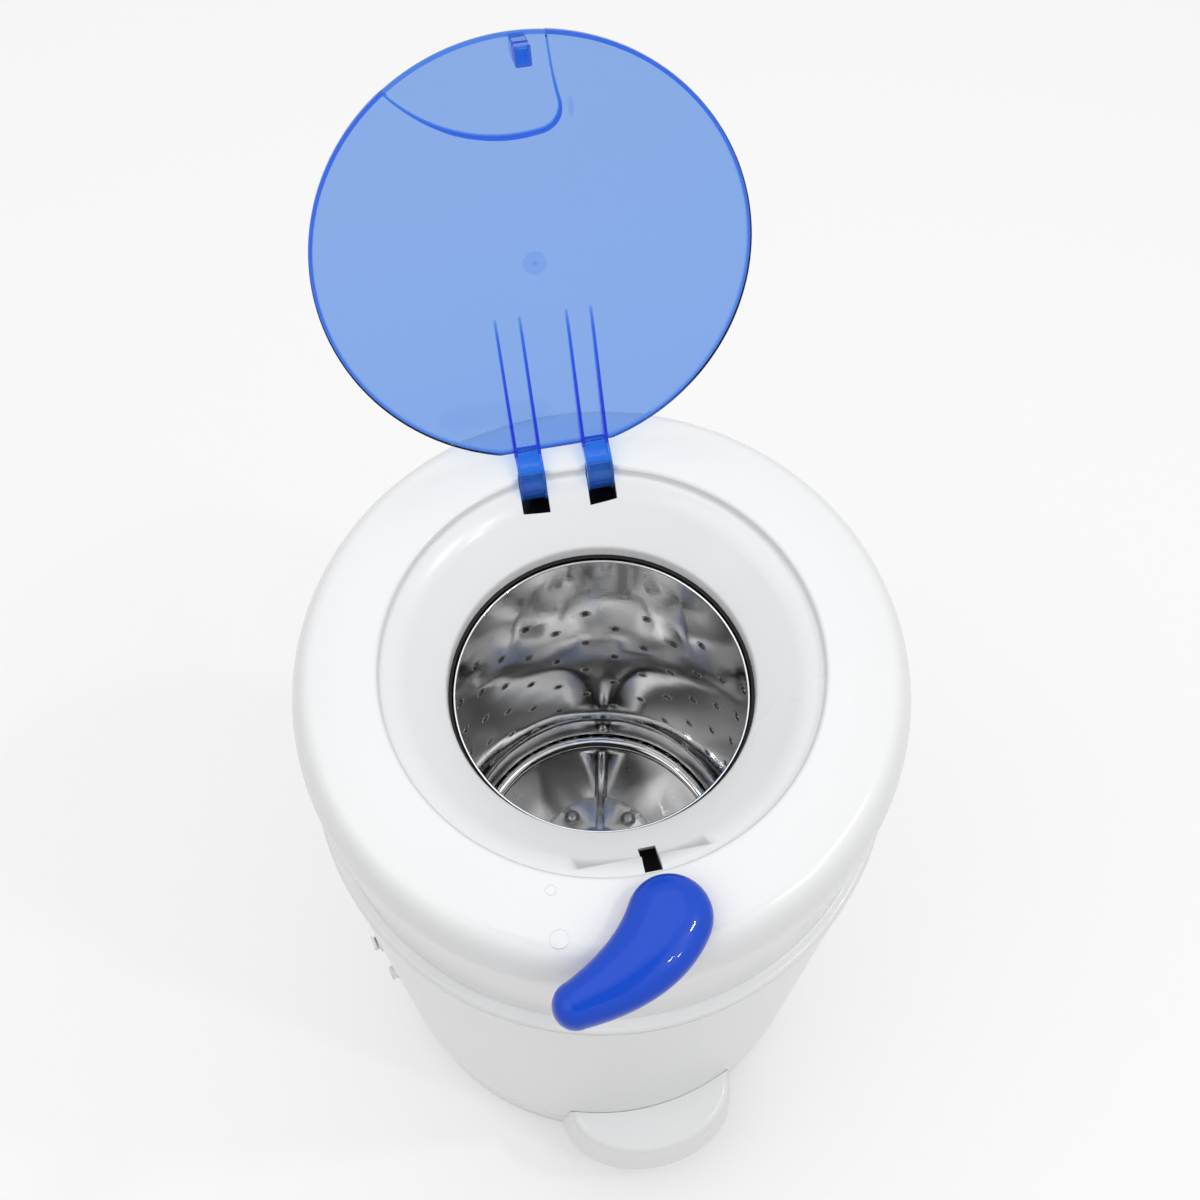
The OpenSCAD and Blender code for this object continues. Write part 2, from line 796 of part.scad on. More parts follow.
module brake_pin() {
    color("silver")
        union() {
            bar_x(rod_x - ear_x - 3, rod_x + ear_x + 3, -arm_pivot_y, arm_z, pin_r);
            bar_x(rod_x + ear_x + 2 + gap, rod_x + ear_x + 4, -arm_pivot_y, arm_z, 3.6);
        }
}

// ---- fasteners ----
module cover_screws() {
    color("silver")
        for (a = [50, 90, 130])
            rotate([0, 0, a])
                translate([casing_r + gap / 2, 0, casing_top - spigot_h / 2])
                    rotate([0, 90, 0])
                        difference() {
                            union() {
                                cylinder(r = 3.6, h = 2);
                                translate([0, 0, -9])
                                    cylinder(r = 1.5, h = 10);
                            }
                            for (t = [0, 90])
                                rotate([0, 0, t])
                                    translate([-2.4, -0.4, 1])
                                        cube([4.8, 0.8, 2]);
                        }
}

module tub_screws() {
    color("silver")
        at_each([20, 100, 170, 235, 305], tub_r + tub_flange / 2 + 0.2)
            translate([0, 0, tub_top + 3 + gap / 2])
                cylinder(r = 2.4, h = 2);
}

module base_screws() {
    color("silver")
        at_each([30, 150, 270], motor_r + 6) {
            translate([0, 0, bracket_z + bracket_t + 3 + gap / 2])
                cylinder(r = 4, h = 3);
            translate([0, 0, bracket_z + bracket_t + gap / 2])
                cylinder(r = 2, h = 4);
        }
}

// ---- lid, drawn shut and then turned open about its pins ----
module open_lid() {
    translate([0, pin_y, pin_z])
        rotate([-lid_open, 0, 0])
            translate([0, -pin_y, -pin_z])
                children();
}

tip_r = 12.5;           // small end of the lever and where it lies
tip_at = [-59.5, -31.9];
spine_mid = [-28.6, -33];

relief_drop = 1.4;
relief_c = [lever_x - 8, -lever_y - 3.5];
relief_r = norm(tip_at) + tip_r + 9.7;
relief_turn = 80;       // where the round corner takes over from the long arc
relief_corner = 12.5;
corner_c = relief_c + (relief_r - relief_corner) * [cos(relief_turn), sin(relief_turn)];
relief_side = lever_x + 14.2;

// Outline of the lowered area that the lever sweeps over, drawn in by inset
function relief_plan(inset) =
    let (r = relief_r - inset, rc = relief_corner - inset,
         p0 = corner_c + relief_corner * [cos(10), -sin(10)],
         p1 = p0 - [2.8, 15.8],
         p2 = [relief_side, -lid_r - 4])
    concat(
        arc(relief_c[0], relief_c[1], r, r, 150, relief_turn, 16),
        arc(corner_c[0], corner_c[1], rc, rc, relief_turn, -10, 6),
        [for (i = [1:5]) bend(p0, p1, p2, i / 5) - [inset, 0]],
        [[relief_c[0] - relief_r, -lid_r - 10]]);

module relief(inset, z0, z1) {
    intersection() {
        translate([0, 0, z0])
            linear_extrude(z1 - z0)
                polygon(relief_plan(inset));
        translate([0, 0, z0])
            cylinder(r = lid_r - inset, h = z1 - z0, $fn = 128);
    }
}

module goose_neck(x) {
    translate([x, pin_y, pin_z])
        rotate([90, 0, 90])
            difference() {
                union() {
                    rotate([0, 0, neck_start])
                        rotate_extrude(angle = neck_end - neck_start)
                            translate([neck_in, -arm_w / 2])
                                square([neck_out - neck_in, arm_w]);
                    for (s = [-1, 1])
                        rotate([0, 0, neck_start])
                            rotate_extrude(angle = neck_end - neck_start - 2)
                                translate([neck_in, s > 0 ? arm_w / 2 - flange_w : -arm_w / 2])
                                    square([flange_out - neck_in, flange_w]);
                    translate([0, 0, -arm_w / 2])
                        cylinder(r = boss_r, h = arm_w);
                    rotate([0, 0, neck_end - 12])
                        translate([pin_r + 1.5, -1.6, -arm_w / 2])
                            cube([neck_in - pin_r, 3.2, arm_w]);
                    // web between the neck and the lid's straight edge
                    translate([0, 0, -arm_w / 2])
                        linear_extrude(arm_w)
                            polygon([[-20, lid_top - pin_z], [-13.8, lid_top - pin_z], [-11.4, 1.8],
                                [-11, -0.6], [-13.1, -0.6], [-14.6, 1.6], [-16.2, lid_top - lid_wall - pin_z],
                                [-20, lid_top - lid_wall - pin_z]]);
                }
                translate([0, 0, -arm_w])
                    cylinder(r = pin_r + run, h = 2 * arm_w);
            }
}

module lid_shut() {
    edge = 2.4;             // thickness and rounding of the rim
    under = lid_top - lid_wall;
    difference() {
        union() {
            difference() {
                rotate_extrude($fn = 160)
                    polygon(concat(
                        [[0, lid_top + lid_crown - lid_wall], [60, lid_top + lid_crown * 0.8 - lid_wall],
                         [lid_r - edge, lid_top - lid_wall], [lid_r - edge, lid_top - lid_rim],
                         [lid_r, lid_top - lid_rim]],
                        arc(lid_r - edge, lid_top - edge, edge, edge, 0, 90, 5),
                        [[60, lid_top + lid_crown * 0.8], [0, lid_top + lid_crown]]));
                relief(-1, lid_top - relief_drop, lid_top + 3);
                slab(-lid_r, lid_r, chord_y, lid_r + 5, lid_top - 10, lid_top + 5);
            }
            relief(2, lid_top - relief_drop - lid_wall, lid_top - relief_drop);
            // straight rear rim
            intersection() {
                slab(-lid_r, lid_r, chord_y - edge, chord_y, lid_top - lid_rim, lid_top - 0.8);
                translate([0, 0, lid_top - 10])
                    cylinder(r = lid_r - 0.5, h = 10, $fn = 160);
            }
            // moulding gate
            translate([0, 0, lid_top - lid_wall - 0.2])
                cylinder(r = 7.5, h = 1.5);
            // tapering ribs that run on from the arms
            for (s = [-1, 1], e = [-1, 1])
                translate([arm_at(s) + e * (arm_w - flange_w) / 2 - flange_w / 2, 0, 0])
                    rotate([90, 0, 90])
                        linear_extrude(flange_w)
                            polygon([[chord_y - rib_l, under + 0.6], [chord_y - rib_l, under],
                                [chord_y - 1, under - rib_drop], [chord_y + 1, under - rib_drop + 1],
                                [chord_y + 1, under - 1], [chord_y - 1, under + 0.6]]);
            for (s = [-1, 1])
                goose_neck(arm_at(s));
            // latch hook with its window
            difference() {
                slab(hook_x - hook_w / 2, hook_x + hook_w / 2, -hook_front, -hook_back,
                    hook_z, lid_top - relief_drop - 0.6);
                slab(hook_x - hook_w / 2 + hook_wall, hook_x + hook_w / 2 - hook_wall, -hook_front + hook_wall,
                    -hook_back - hook_wall, hook_z - 1, lid_top - lid_wall - 4);
                slab(hook_x - hook_w, hook_x + hook_w, -hook_front - 1, -hook_front + hook_d - hook_wall,
                    bolt_z - bolt_t / 2 - 0.6, bolt_z + bolt_t / 2 + 0.6);
            }
        }
    }
}

module lid() {
    color([0.35, 0.58, 0.95, 0.6])
        open_lid()
            lid_shut();
}

// ---- lever ----
// Outline of the lever drawn in by the factor k: circles that follow a bent spine
function lever_ring(k) =
    let (n = 14,
         c = [for (i = [0:n]) bend([0, 0], spine_mid, tip_at, i / n)],
         d = [for (i = [0:n]) let (t = i / n, v = (1 - t) * spine_mid + t * (tip_at - spine_mid)) v / norm(v)],
         r = [for (i = [0:n]) k * (lever_r + (tip_r - lever_r) * i / n)],
         a0 = atan2(d[0][1], d[0][0]),
         a1 = atan2(d[n][1], d[n][0]))
    concat(
        [for (i = [0:n]) c[i] + r[i] * [d[i][1], -d[i][0]]],
        [for (i = [1:7]) let (a = a1 - 90 + 180 * i / 8) c[n] + r[n] * [cos(a), sin(a)]],
        [for (i = [n:-1:0]) c[i] + r[i] * [-d[i][1], d[i][0]]],
        [for (i = [1:11]) let (a = a0 + 90 + 180 * i / 12) c[0] + r[0] * [cos(a), sin(a)]]);

module lever_handle() {
    levels = concat([[0, 0.93], [1.2, 0.985], [3, 1]],
        [for (i = [1:7]) let (a = 12 * i)
            [3 + (lever_dome - 3) * sin(a), cos(a) * 0.55 + 0.45 * pow(cos(a), 0.35)]]);
    rings = [for (l = levels) [for (p = lever_ring(l[1])) [p[0], p[1], l[0]]]];
    n = len(rings[0]);
    m = len(rings);
    sides = [for (j = [0:m - 2]) for (i = [0:n - 1]) let (k = (i + 1) % n)
        each [[j * n + i, j * n + n + i, j * n + k], [j * n + k, j * n + n + i, j * n + n + k]]];
    color("royalblue")
        translate([lever_x, -lever_y, 0])
            difference() {
                union() {
                    translate([0, 0, handle_z])
                        polyhedron(points = [for (r = rings) each r],
                            faces = concat(sides, [[for (i = [0:n - 1]) i]],
                                [[for (i = [n - 1:-1:0]) (m - 1) * n + i]]));
                    translate([0, 0, pedestal_z])
                        cylinder(r = pivot_r + 6, h = handle_z + 2 - pedestal_z);
                }
                translate([0, 0, pedestal_z - 1])
                    cylinder(r = pivot_r - 1 + slip, h = 12);
            }
}

module lever_shaft() {
    steps = 28;
    first = -ramp_lead - 3;
    step = (lever_turn + 2 * ramp_lead + 4) / steps;
    rim = ramp_out - 0.5;
    slot_half = rod_r + gap;
    slot_lead = asin(slot_half / ramp_r) + 3;
    slot_out = ramp_r + slot_half;
    slot_in = ramp_r - slot_half;
    color("gainsboro")
        translate([lever_x, -lever_y, 0])
            difference() {
                union() {
                    translate([0, 0, pedestal_z - 2])
                        cylinder(r = pivot_r - 1, h = 12 - slip);
                    translate([0, 0, cam_z - 2])
                        cylinder(r = pivot_r, h = pedestal_z - slip - cam_z + 2);
                    translate([0, 0, cam_z - 2])
                        cylinder(r = hub_r, h = body_h - cover_wall - 3 - gap - cam_z + 2);
                    // latch cam: its radius grows evenly with the turn
                    translate([0, 0, cam_z])
                        linear_extrude(cam_h)
                            polygon(concat(
                                [for (i = [0:24])
                                    let (t = i / 24, a = 90 + lever_turn * t, r = cam_r + bolt_travel * t)
                                    [r * cos(a), r * sin(a)]],
                                [for (i = [1:4]) let (a = 90 + lever_turn + 4 * i)
                                    [cam_peak * cos(a), cam_peak * sin(a)]],
                                [for (i = [0:16]) let (a = 124 + lever_turn + i * (326 - lever_turn) / 16)
                                    [cam_r * cos(a), cam_r * sin(a)]]));
                    // lift disc with its even ramp
                    translate([0, 0, ramp_z])
                        cylinder(r = ramp_out, h = ramp_base - 1.5);
                    for (i = [0:steps - 1])
                        translate([0, 0, ramp_z])
                            linear_extrude(ramp_base + ramp_rate * (step * (i + 0.5) + first))
                                polygon([[0, 0],
                                    [rim * cos(first + step * i), rim * sin(first + step * i)],
                                    [rim * cos(first + step * (i + 1)), rim * sin(first + step * (i + 1))]]);
                }
                // arc slot for the brake rod
                translate([0, 0, ramp_z - 1])
                    linear_extrude(20)
                        polygon(concat(
                            arc(0, 0, slot_out, slot_out, -slot_lead, lever_turn + slot_lead, 24),
                            arc(0, 0, slot_in, slot_in, lever_turn + slot_lead, -slot_lead, 24)));
                translate([0, 0, cam_z - 3])
                    cylinder(r = 2 + slip, h = 22);
            }
}

module lever_screw() {
    color("silver")
        translate([lever_x, -lever_y, cam_z - 2 - gap / 2])
            union() {
                translate([0, 0, -3])
                    cylinder(r = 6, h = 3);
                cylinder(r = 2, h = 18);
            }
}

bolt_tail = lever_y - cam_r - gap - 0.2;
tail_r = 2.5;           // rounded end that rides on the cam
bolt_nose = hook_front + 0.8 + 0.8;

module latch_bolt() {
    color("silver")
        difference() {
            union() {
                slab(hook_x - bolt_w / 2, hook_x + bolt_w / 2, -bolt_tail + 2 * tail_r, -bolt_nose,
                    bolt_z - bolt_t / 2, bolt_z + bolt_t / 2);
                slab(lever_x - tail_r, lever_x + tail_r, -bolt_tail + tail_r, -bolt_tail + 2 * tail_r + 1,
                    bolt_z - bolt_t / 2, bolt_z + bolt_t / 2);
                translate([lever_x, -bolt_tail + tail_r, bolt_z - bolt_t / 2])
                    cylinder(r = tail_r, h = bolt_t);
            }
            translate([hook_x, -bolt_nose, bolt_z + bolt_t / 2])
                rotate([45, 0, 0])
                    cube([bolt_w + 2, 1.6, 1.6], center = true);
        }
}

module brake_rod() {
    color("silver")
        translate([rod_x, -lever_y, 0])
            union() {
                translate([0, 0, rod_end])
                    cylinder(r = rod_r, h = head_z + 1 - rod_end);
                translate([0, 0, head_z])
                    cylinder(r = head_r, h = head_t);
                translate([0, 0, arm_z - arm_w2 / 2 - gap - 3.4])
                    cylinder(r = 4, h = 3, $fn = 6);
            }
}

shoe_drop = 24;
shoe_z = arm_z - shoe_drop;

module brake_arm() {
    back = brake_r + 6.6;
    color("slategray")
        difference() {
            union() {
                translate([rod_x - arm_w2 / 2, 0, 0])
                    rotate([90, 0, 90])
                        linear_extrude(arm_w2)
                            polygon([[-lever_y - 6, arm_z - 2.5], [-lever_y - 6, arm_z + 2.5],
                                [-arm_pivot_y - 8, arm_z + 4], [-arm_pivot_y, arm_z + 6],
                                [-arm_pivot_y + 6, arm_z + 2], [-arm_pivot_y + 7, shoe_z + 9],
                                [-back - 0.4, shoe_z + 8], [-back - 0.4, shoe_z - 7],
                                [-arm_pivot_y - 2, shoe_z - 2], [-arm_pivot_y - 10, arm_z - 5]]);
                translate([rod_x - 5, -lever_y, arm_z - 2.5])
                    cube([10, 12, 5], center = false);
                translate([rod_x, -lever_y, arm_z - 2.5])
                    cylinder(r = 6, h = 5);
                slab(-14, rod_x + arm_w2 / 2, -back - 3.4, -back - 0.4, shoe_z - 7, shoe_z + 8);
            }
            bar_x(rod_x - 20, rod_x + 20, -arm_pivot_y, arm_z, pin_r + run);
            hull() {
                for (s = [-0.8, 0.4])
                    translate([rod_x, -lever_y + s, arm_z - 5])
                        cylinder(r = rod_r + 0.5, h = 10, $fn = 32);
            }
        }
}

module brake_shoe() {
    color("saddlebrown")
        intersection() {
            ring(brake_r + 6.2, brake_r + gap, shoe_z - 6, shoe_z + 7);
            slab(-15, 15, -brake_r - 10, 0, shoe_z - 10, shoe_z + 10);
        }
}

spring_r = 6.5;
wire_r = 0.7;
spring_turns = 6;
spring_lo = arm_z + 2.5 + gap + wire_r;
spring_hi = guide_heights[1] - gap - wire_r;

module brake_spring() {
    steps = 10 * spring_turns;
    sides = 6;
    pitch = (spring_hi - spring_lo) / spring_turns;
    pts = [for (i = [0:steps])
        let (a = 360 * spring_turns * i / steps, z = spring_lo + (spring_hi - spring_lo) * i / steps)
        for (j = [0:sides - 1]) let (b = 360 * j / sides, r = spring_r + wire_r * cos(b))
            [r * cos(a), r * sin(a), z + wire_r * sin(b)]];
    walls = [for (i = [0:steps - 1])
        for (j = [0:sides - 1]) let (k = (j + 1) % sides, p = i * sides, q = p + sides)
            each [[p + j, p + k, q + j], [p + k, q + k, q + j]]];
    echo(least_gap_between_turns = pitch - 2 * wire_r);
    color("silver")
        translate([rod_x, -lever_y, 0])
            polyhedron(points = pts, faces = concat(walls, [[for (j = [sides - 1:-1:0]) j]],
                [[for (j = [0:sides - 1]) steps * sides + j]]));
}

// ---- drum ----
plain_top = 123;        // band without holes under the drum's rim
hole_low = drum_floor + corner_h;
hole_pitch = (drum_top - plain_top - hole_low) / (hole_rows - 1);
hole_phase = 16.9;

module drum_shell() {
    t = drum_wall;
    neck_w = drum_r - rim_c - 0.5;
    color("lightgray")
        difference() {
            rotate_extrude($fn = 128)
                polygon(concat(
                    [[base_disc_r - 12, drum_floor - t], [drum_r - corner_r, drum_floor - t]],
                    arc(drum_r - corner_r, drum_floor + corner_h, corner_r + t, corner_h + t, 270, 360, 7),
                    arc(rim_c + 0.5, drum_top - 32, neck_w + t, 32, 0, 78, 7),
                    arc(rim_c, drum_top, rim_r, rim_r, 40, 270, 7),
                    arc(rim_c + 0.5, drum_top - 33, neck_w, 30, 70, 0, 6),
                    arc(drum_r - corner_r, drum_floor + corner_h, corner_r, corner_h, 360, 270, 7),
                    [[base_disc_r - 12, drum_floor]]));
            for (row = [0:hole_rows - 1])
                for (k = [0:holes_per_row - 1])
                    rotate([0, 0, hole_phase + (k + (row % 2) / 2) * 360 / holes_per_row])
                        translate([drum_r - 5, 0, hole_low + row * hole_pitch])
                            rotate([0, 90, 0])
                                cylinder(r = hole_r, h = 10, $fn = 16);
        }
}

rib_count = 5;
rib_first = 77.3;
rib_angles = [for (k = [0:rib_count - 1]) rib_first + 360 * k / rib_count];
bolt_angles = [for (a = rib_angles) a + 180 / rib_count];
rib_w = 5.5;            // half width and height of a rib
hub_low = drum_floor + base_t + 0.2;
hub_top = drum_floor + base_t + hub_disc_t;

// Straight rib with round ends, laid along X
module rib(x0, x1) {
    translate([x0, 0, 0])
        rotate([0, 90, 0])
            cylinder(r = rib_w, h = x1 - x0, $fn = 32);
}

module drum_base() {
    color("silver")
        difference() {
            union() {
                translate([0, 0, drum_floor + gap / 3])
                    cylinder(r = base_disc_r, h = base_t, $fn = 128);
                for (a = rib_angles)
                    rotate([0, 0, a])
                        intersection() {
                            translate([0, 0, drum_floor + base_t])
                                union() {
                                    rib(hub_disc_r + gap, base_disc_r - rib_w - 2);
                                    translate([base_disc_r - rib_w - 2, 0, 0])
                                        sphere(r = rib_w, $fn = 32);
                                }
                            translate([0, -20, drum_floor + 0.5])
                                cube([drum_r, 40, 20]);
                        }
            }
            translate([0, 0, drum_floor - 1])
                cylinder(r = shaft_r + slip, h = 5);
        }
}

module drum_hub() {
    color("gainsboro")
        difference() {
            union() {
                rotate_extrude($fn = 96)
                    polygon([[0, hub_low], [hub_disc_r, hub_low], [hub_disc_r, hub_low + 1.3],
                        [hub_disc_r - 2.5, hub_top], [27, hub_top], [19, hub_top + 3.5], [0, hub_top + 5]]);
                // the ribs run on over the hub
                for (a = rib_angles)
                    rotate([0, 0, a])
                        intersection() {
                            translate([0, 0, drum_floor + base_t])
                                rib(14, hub_disc_r);
                            translate([0, -rib_w, hub_low])
                                cube([hub_disc_r, 2 * rib_w, 2 * rib_w]);
                        }
            }
            translate([0, 0, drum_floor - 5])
                cylinder(r = shaft_r + slip, h = 9.5);
            at_each(bolt_angles, bolt_circle)
                translate([0, 0, drum_floor - 2])
                    cylinder(r = 2.5 + slip, h = 14);
        }
}

module hub_bolts() {
    color("silver")
        at_each(bolt_angles, bolt_circle)
            translate([0, 0, hub_top + gap / 3])
                union() {
                    // domed head on its flange
                    rotate_extrude()
                        polygon(concat([[0, 0], [6.5, 0], [6.5, 0.8]], arc(0, 0.8, 5.2, 3.6, 0, 90, 6)));
                    translate([0, 0, -hub_disc_t + 0.5])
                        cylinder(r = 2.5, h = hub_disc_t);
                }
}

module drum_shaft() {
    color("silver")
        union() {
            translate([0, 0, motor_low - 4])
                cylinder(r = shaft_r, h = drum_floor + 3 - motor_low + 4);
            rotate_extrude()
                polygon([[0, drum_floor - 16], [shaft_r + 10, drum_floor - 16], [28, drum_floor - 8],
                    [base_disc_r - 13, drum_floor - 4], [base_disc_r - 13, drum_floor - 0.2],
                    [0, drum_floor - 0.2]]);
        }
}

module rotor() {
    color("slategray")
        difference() {
            translate([0, 0, motor_low + 20])
                cylinder(r = rotor_r, h = motor_high - motor_low - 42);
            translate([0, 0, motor_low])
                cylinder(r = shaft_r + slip, h = motor_high);
        }
}

module brake_drum() {
    color("dimgray")
        rotate_extrude($fn = 96)
            polygon([[shaft_r + slip, shoe_z - 9], [15, shoe_z - 9], [15, shoe_z + 6],
                [brake_r - 4, shoe_z + 6], [brake_r - 4, shoe_z - 9], [brake_r, shoe_z - 9],
                [brake_r, shoe_z + 10], [shaft_r + slip, shoe_z + 10]]);
}

base_shell();
drain_spout();
drain_nozzle();
drain_hose();
rubber_feet();
outer_casing();
cord_hooks();
cord_gland();
top_cover();
mouth_seal();
tub_lid();
outer_tub();
shaft_seal();
motor_housing();
stator();
motor_bearings();
motor_bracket();
rubber_mounts();
mount_nuts();
run_capacitor();
capacitor_clip();
door_switch();
hinge_pockets();
hinge_pins();
latch_guide();
rod_guides();
brake_bracket();
brake_pin();
cover_screws();
tub_screws();
base_screws();
lid();
lever_handle();
lever_shaft();
lever_screw();
latch_bolt();
brake_rod();
brake_arm();
brake_shoe();
brake_spring();
drum_shell();
drum_base();
drum_hub();
hub_bolts();
drum_shaft();
rotor();
brake_drum();
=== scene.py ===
# Looks of the laundry spin dryer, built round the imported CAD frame. Metres, +Z up, front -Y.
import json
import math

import bmesh
import bpy
import numpy as np
from mathutils import Matrix, Vector, geometry


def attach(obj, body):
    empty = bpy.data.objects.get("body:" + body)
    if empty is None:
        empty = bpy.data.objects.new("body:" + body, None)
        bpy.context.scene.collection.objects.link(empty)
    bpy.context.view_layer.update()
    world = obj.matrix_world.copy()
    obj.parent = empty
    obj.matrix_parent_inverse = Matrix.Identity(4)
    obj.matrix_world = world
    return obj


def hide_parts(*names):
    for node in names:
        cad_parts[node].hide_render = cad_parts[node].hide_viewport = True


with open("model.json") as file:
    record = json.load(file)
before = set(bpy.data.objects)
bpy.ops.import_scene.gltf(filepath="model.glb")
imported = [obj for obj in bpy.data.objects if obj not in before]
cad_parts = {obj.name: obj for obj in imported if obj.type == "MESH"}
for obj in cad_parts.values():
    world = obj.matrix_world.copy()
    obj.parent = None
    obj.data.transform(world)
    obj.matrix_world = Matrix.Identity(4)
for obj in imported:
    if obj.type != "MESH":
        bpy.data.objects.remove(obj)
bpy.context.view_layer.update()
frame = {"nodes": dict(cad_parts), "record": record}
nodes = frame["nodes"]
mm = 0.001  # shapes are described in mm and degrees
print("frame loaded:", len(nodes), "nodes")


def feed(tree, node, inputs):
    # each input is a value or the socket that feeds it
    for key, value in inputs.items():
        if isinstance(value, bpy.types.NodeSocket):
            tree.links.new(value, node.inputs[key])
        else:
            node.inputs[key].default_value = value
    return node


def addNode(tree, kind, inputs):
    return feed(tree, tree.nodes.new(kind), inputs)


def mathNode(tree, operation, *values):
    node = tree.nodes.new("ShaderNodeMath")
    node.operation = operation
    return feed(tree, node, dict(enumerate(values))).outputs[0]


def vectorNode(tree, operation, inputs):
    node = tree.nodes.new("ShaderNodeVectorMath")
    node.operation = operation
    return feed(tree, node, inputs).outputs[0]


def newGroup(name, inputs):
    # shader group that gives a colour, a roughness and a bump height
    group = bpy.data.node_groups.new(name, "ShaderNodeTree")
    for label, value in inputs.items():
        kind = "NodeSocketFloat" if isinstance(value, float) else "NodeSocketColor"
        group.interface.new_socket(name=label, in_out="INPUT", socket_type=kind).default_value = value
    for label, kind in (("Colour", "NodeSocketColor"), ("Roughness", "NodeSocketFloat"), ("Height", "NodeSocketFloat")):
        group.interface.new_socket(name=label, in_out="OUTPUT", socket_type=kind)
    return group, group.nodes.new("NodeGroupInput").outputs, group.nodes.new("NodeGroupOutput")


grainLook = {"slowDetail": 3.0, "fineDetail": 2.0}


def mouldGrainGroup(look):
    # slow shade drift and fine moulded grain
    group, start, end = newGroup("mouldGrain", {
        "Colour": (0.8, 0.8, 0.8, 1), "Drift": 0.02, "Drift Scale": 9.0, "Grain Scale": 900.0, "Roughness": 0.3,
        "Roughness Spread": 0.05})
    spot = group.nodes.new("ShaderNodeTexCoord").outputs["Object"]
    slow = addNode(group, "ShaderNodeTexNoise", {
        "Vector": spot, "Scale": start["Drift Scale"], "Detail": look["slowDetail"]})
    fine = addNode(group, "ShaderNodeTexNoise", {
        "Vector": spot, "Scale": start["Grain Scale"], "Detail": look["fineDetail"]})
    centred = mathNode(group, "SUBTRACT", slow.outputs["Fac"], 0.5)
    shade = mathNode(group, "MULTIPLY_ADD", centred, start["Drift"], 1.0)
    feed(group, end, {
        "Colour": vectorNode(group, "SCALE", {0: start["Colour"], "Scale": shade}),
        "Roughness": mathNode(group, "MULTIPLY_ADD", centred, start["Roughness Spread"], start["Roughness"]),
        "Height": fine.outputs["Fac"]})
    return group


marksLook = {"stretch": (1, 1, 14), "lineDetail": 4.0, "dentDetail": 1.5, "shade": 0.12}


def sheetMarksGroup(look):
    # slow dents and faint rolling lines of thin metal sheet
    group, start, end = newGroup("sheetMarks", {
        "Colour": (0.7, 0.7, 0.7, 1), "Roughness": 0.1, "Smear": 0.06, "Line Scale": 60.0, "Dent Scale": 18.0,
        "Dent Share": 0.9})
    spot = group.nodes.new("ShaderNodeTexCoord").outputs["Object"]
    stretch = addNode(group, "ShaderNodeMapping", {"Scale": look["stretch"], "Vector": spot})
    lines = addNode(group, "ShaderNodeTexNoise", {
        "Vector": stretch.outputs[0], "Scale": start["Line Scale"], "Detail": look["lineDetail"]})
    dents = addNode(group, "ShaderNodeTexNoise", {
        "Vector": spot, "Scale": start["Dent Scale"], "Detail": look["dentDetail"]})
    tint = group.nodes.new("ShaderNodeMix")
    tint.data_type = "RGBA"
    tint.blend_type = "MULTIPLY"
    feed(group, tint, {0: look["shade"], 6: start["Colour"], 7: dents.outputs["Color"]})
    flat = addNode(group, "ShaderNodeHueSaturation", {"Saturation": 0.0, "Color": tint.outputs[2]})
    height = addNode(group, "ShaderNodeMix", {
        0: start["Dent Share"], 2: lines.outputs["Fac"], 3: dents.outputs["Fac"]})
    feed(group, end, {
        "Colour": flat.outputs[0], "Height": height.outputs[0],
        "Roughness": mathNode(group, "MULTIPLY_ADD", lines.outputs["Fac"], start["Smear"], start["Roughness"])})
    return group


mouldGrain = mouldGrainGroup(grainLook)
sheetMarks = sheetMarksGroup(marksLook)


def startMaterial(name, group, values, look):
    # new material with its colour, roughness and bump from a shared group
    material = bpy.data.materials.new(name)
    material.use_nodes = True
    tree = material.node_tree
    marks = tree.nodes.new("ShaderNodeGroup")
    marks.node_tree = group
    feed(tree, marks, {"Colour": (*look["colour"], 1), "Roughness": look["rough"], **values})
    bump = addNode(tree, "ShaderNodeBump", {
        "Strength": look["bump"], "Distance": look["bumpDepth"], "Height": marks.outputs["Height"]})
    shader = feed(tree, tree.nodes["Principled BSDF"], {
        "Base Color": marks.outputs["Colour"], "Roughness": marks.outputs["Roughness"],
        "Normal": bump.outputs["Normal"]})
    return material, tree, shader


def grainMaterial(name, look):
    return startMaterial(name, mouldGrain, {
        "Drift": look["drift"], "Drift Scale": look["driftScale"], "Grain Scale": look["grainScale"],
        "Roughness Spread": look["spread"]}, look)


def mouldedMaterial(name, changes):
    look = {"drift": 0.04, "driftScale": 9.0, "grainScale": 900.0, "spread": 0.08, "bump": 0.1, "bumpDepth": 0.00005,
            "metal": 0.0, "coat": 0.0, "coatRough": 0.1, "ior": 1.47, **changes}
    material, tree, shader = grainMaterial(name, look)
    feed(tree, shader, {"Metallic": look["metal"], "Coat Weight": look["coat"], "Coat Roughness": look["coatRough"],
                        "IOR": look["ior"]})
    return material


def sheetMaterial(name, changes):
    look = {"smear": 0.05, "lineScale": 60.0, "dentScale": 18.0, "bump": 0.2, "bumpDepth": 0.001, **changes}
    material, tree, shader = startMaterial(name, sheetMarks, {
        "Smear": look["smear"], "Line Scale": look["lineScale"], "Dent Scale": look["dentScale"]}, look)
    feed(tree, shader, {"Metallic": 1.0})
    return material


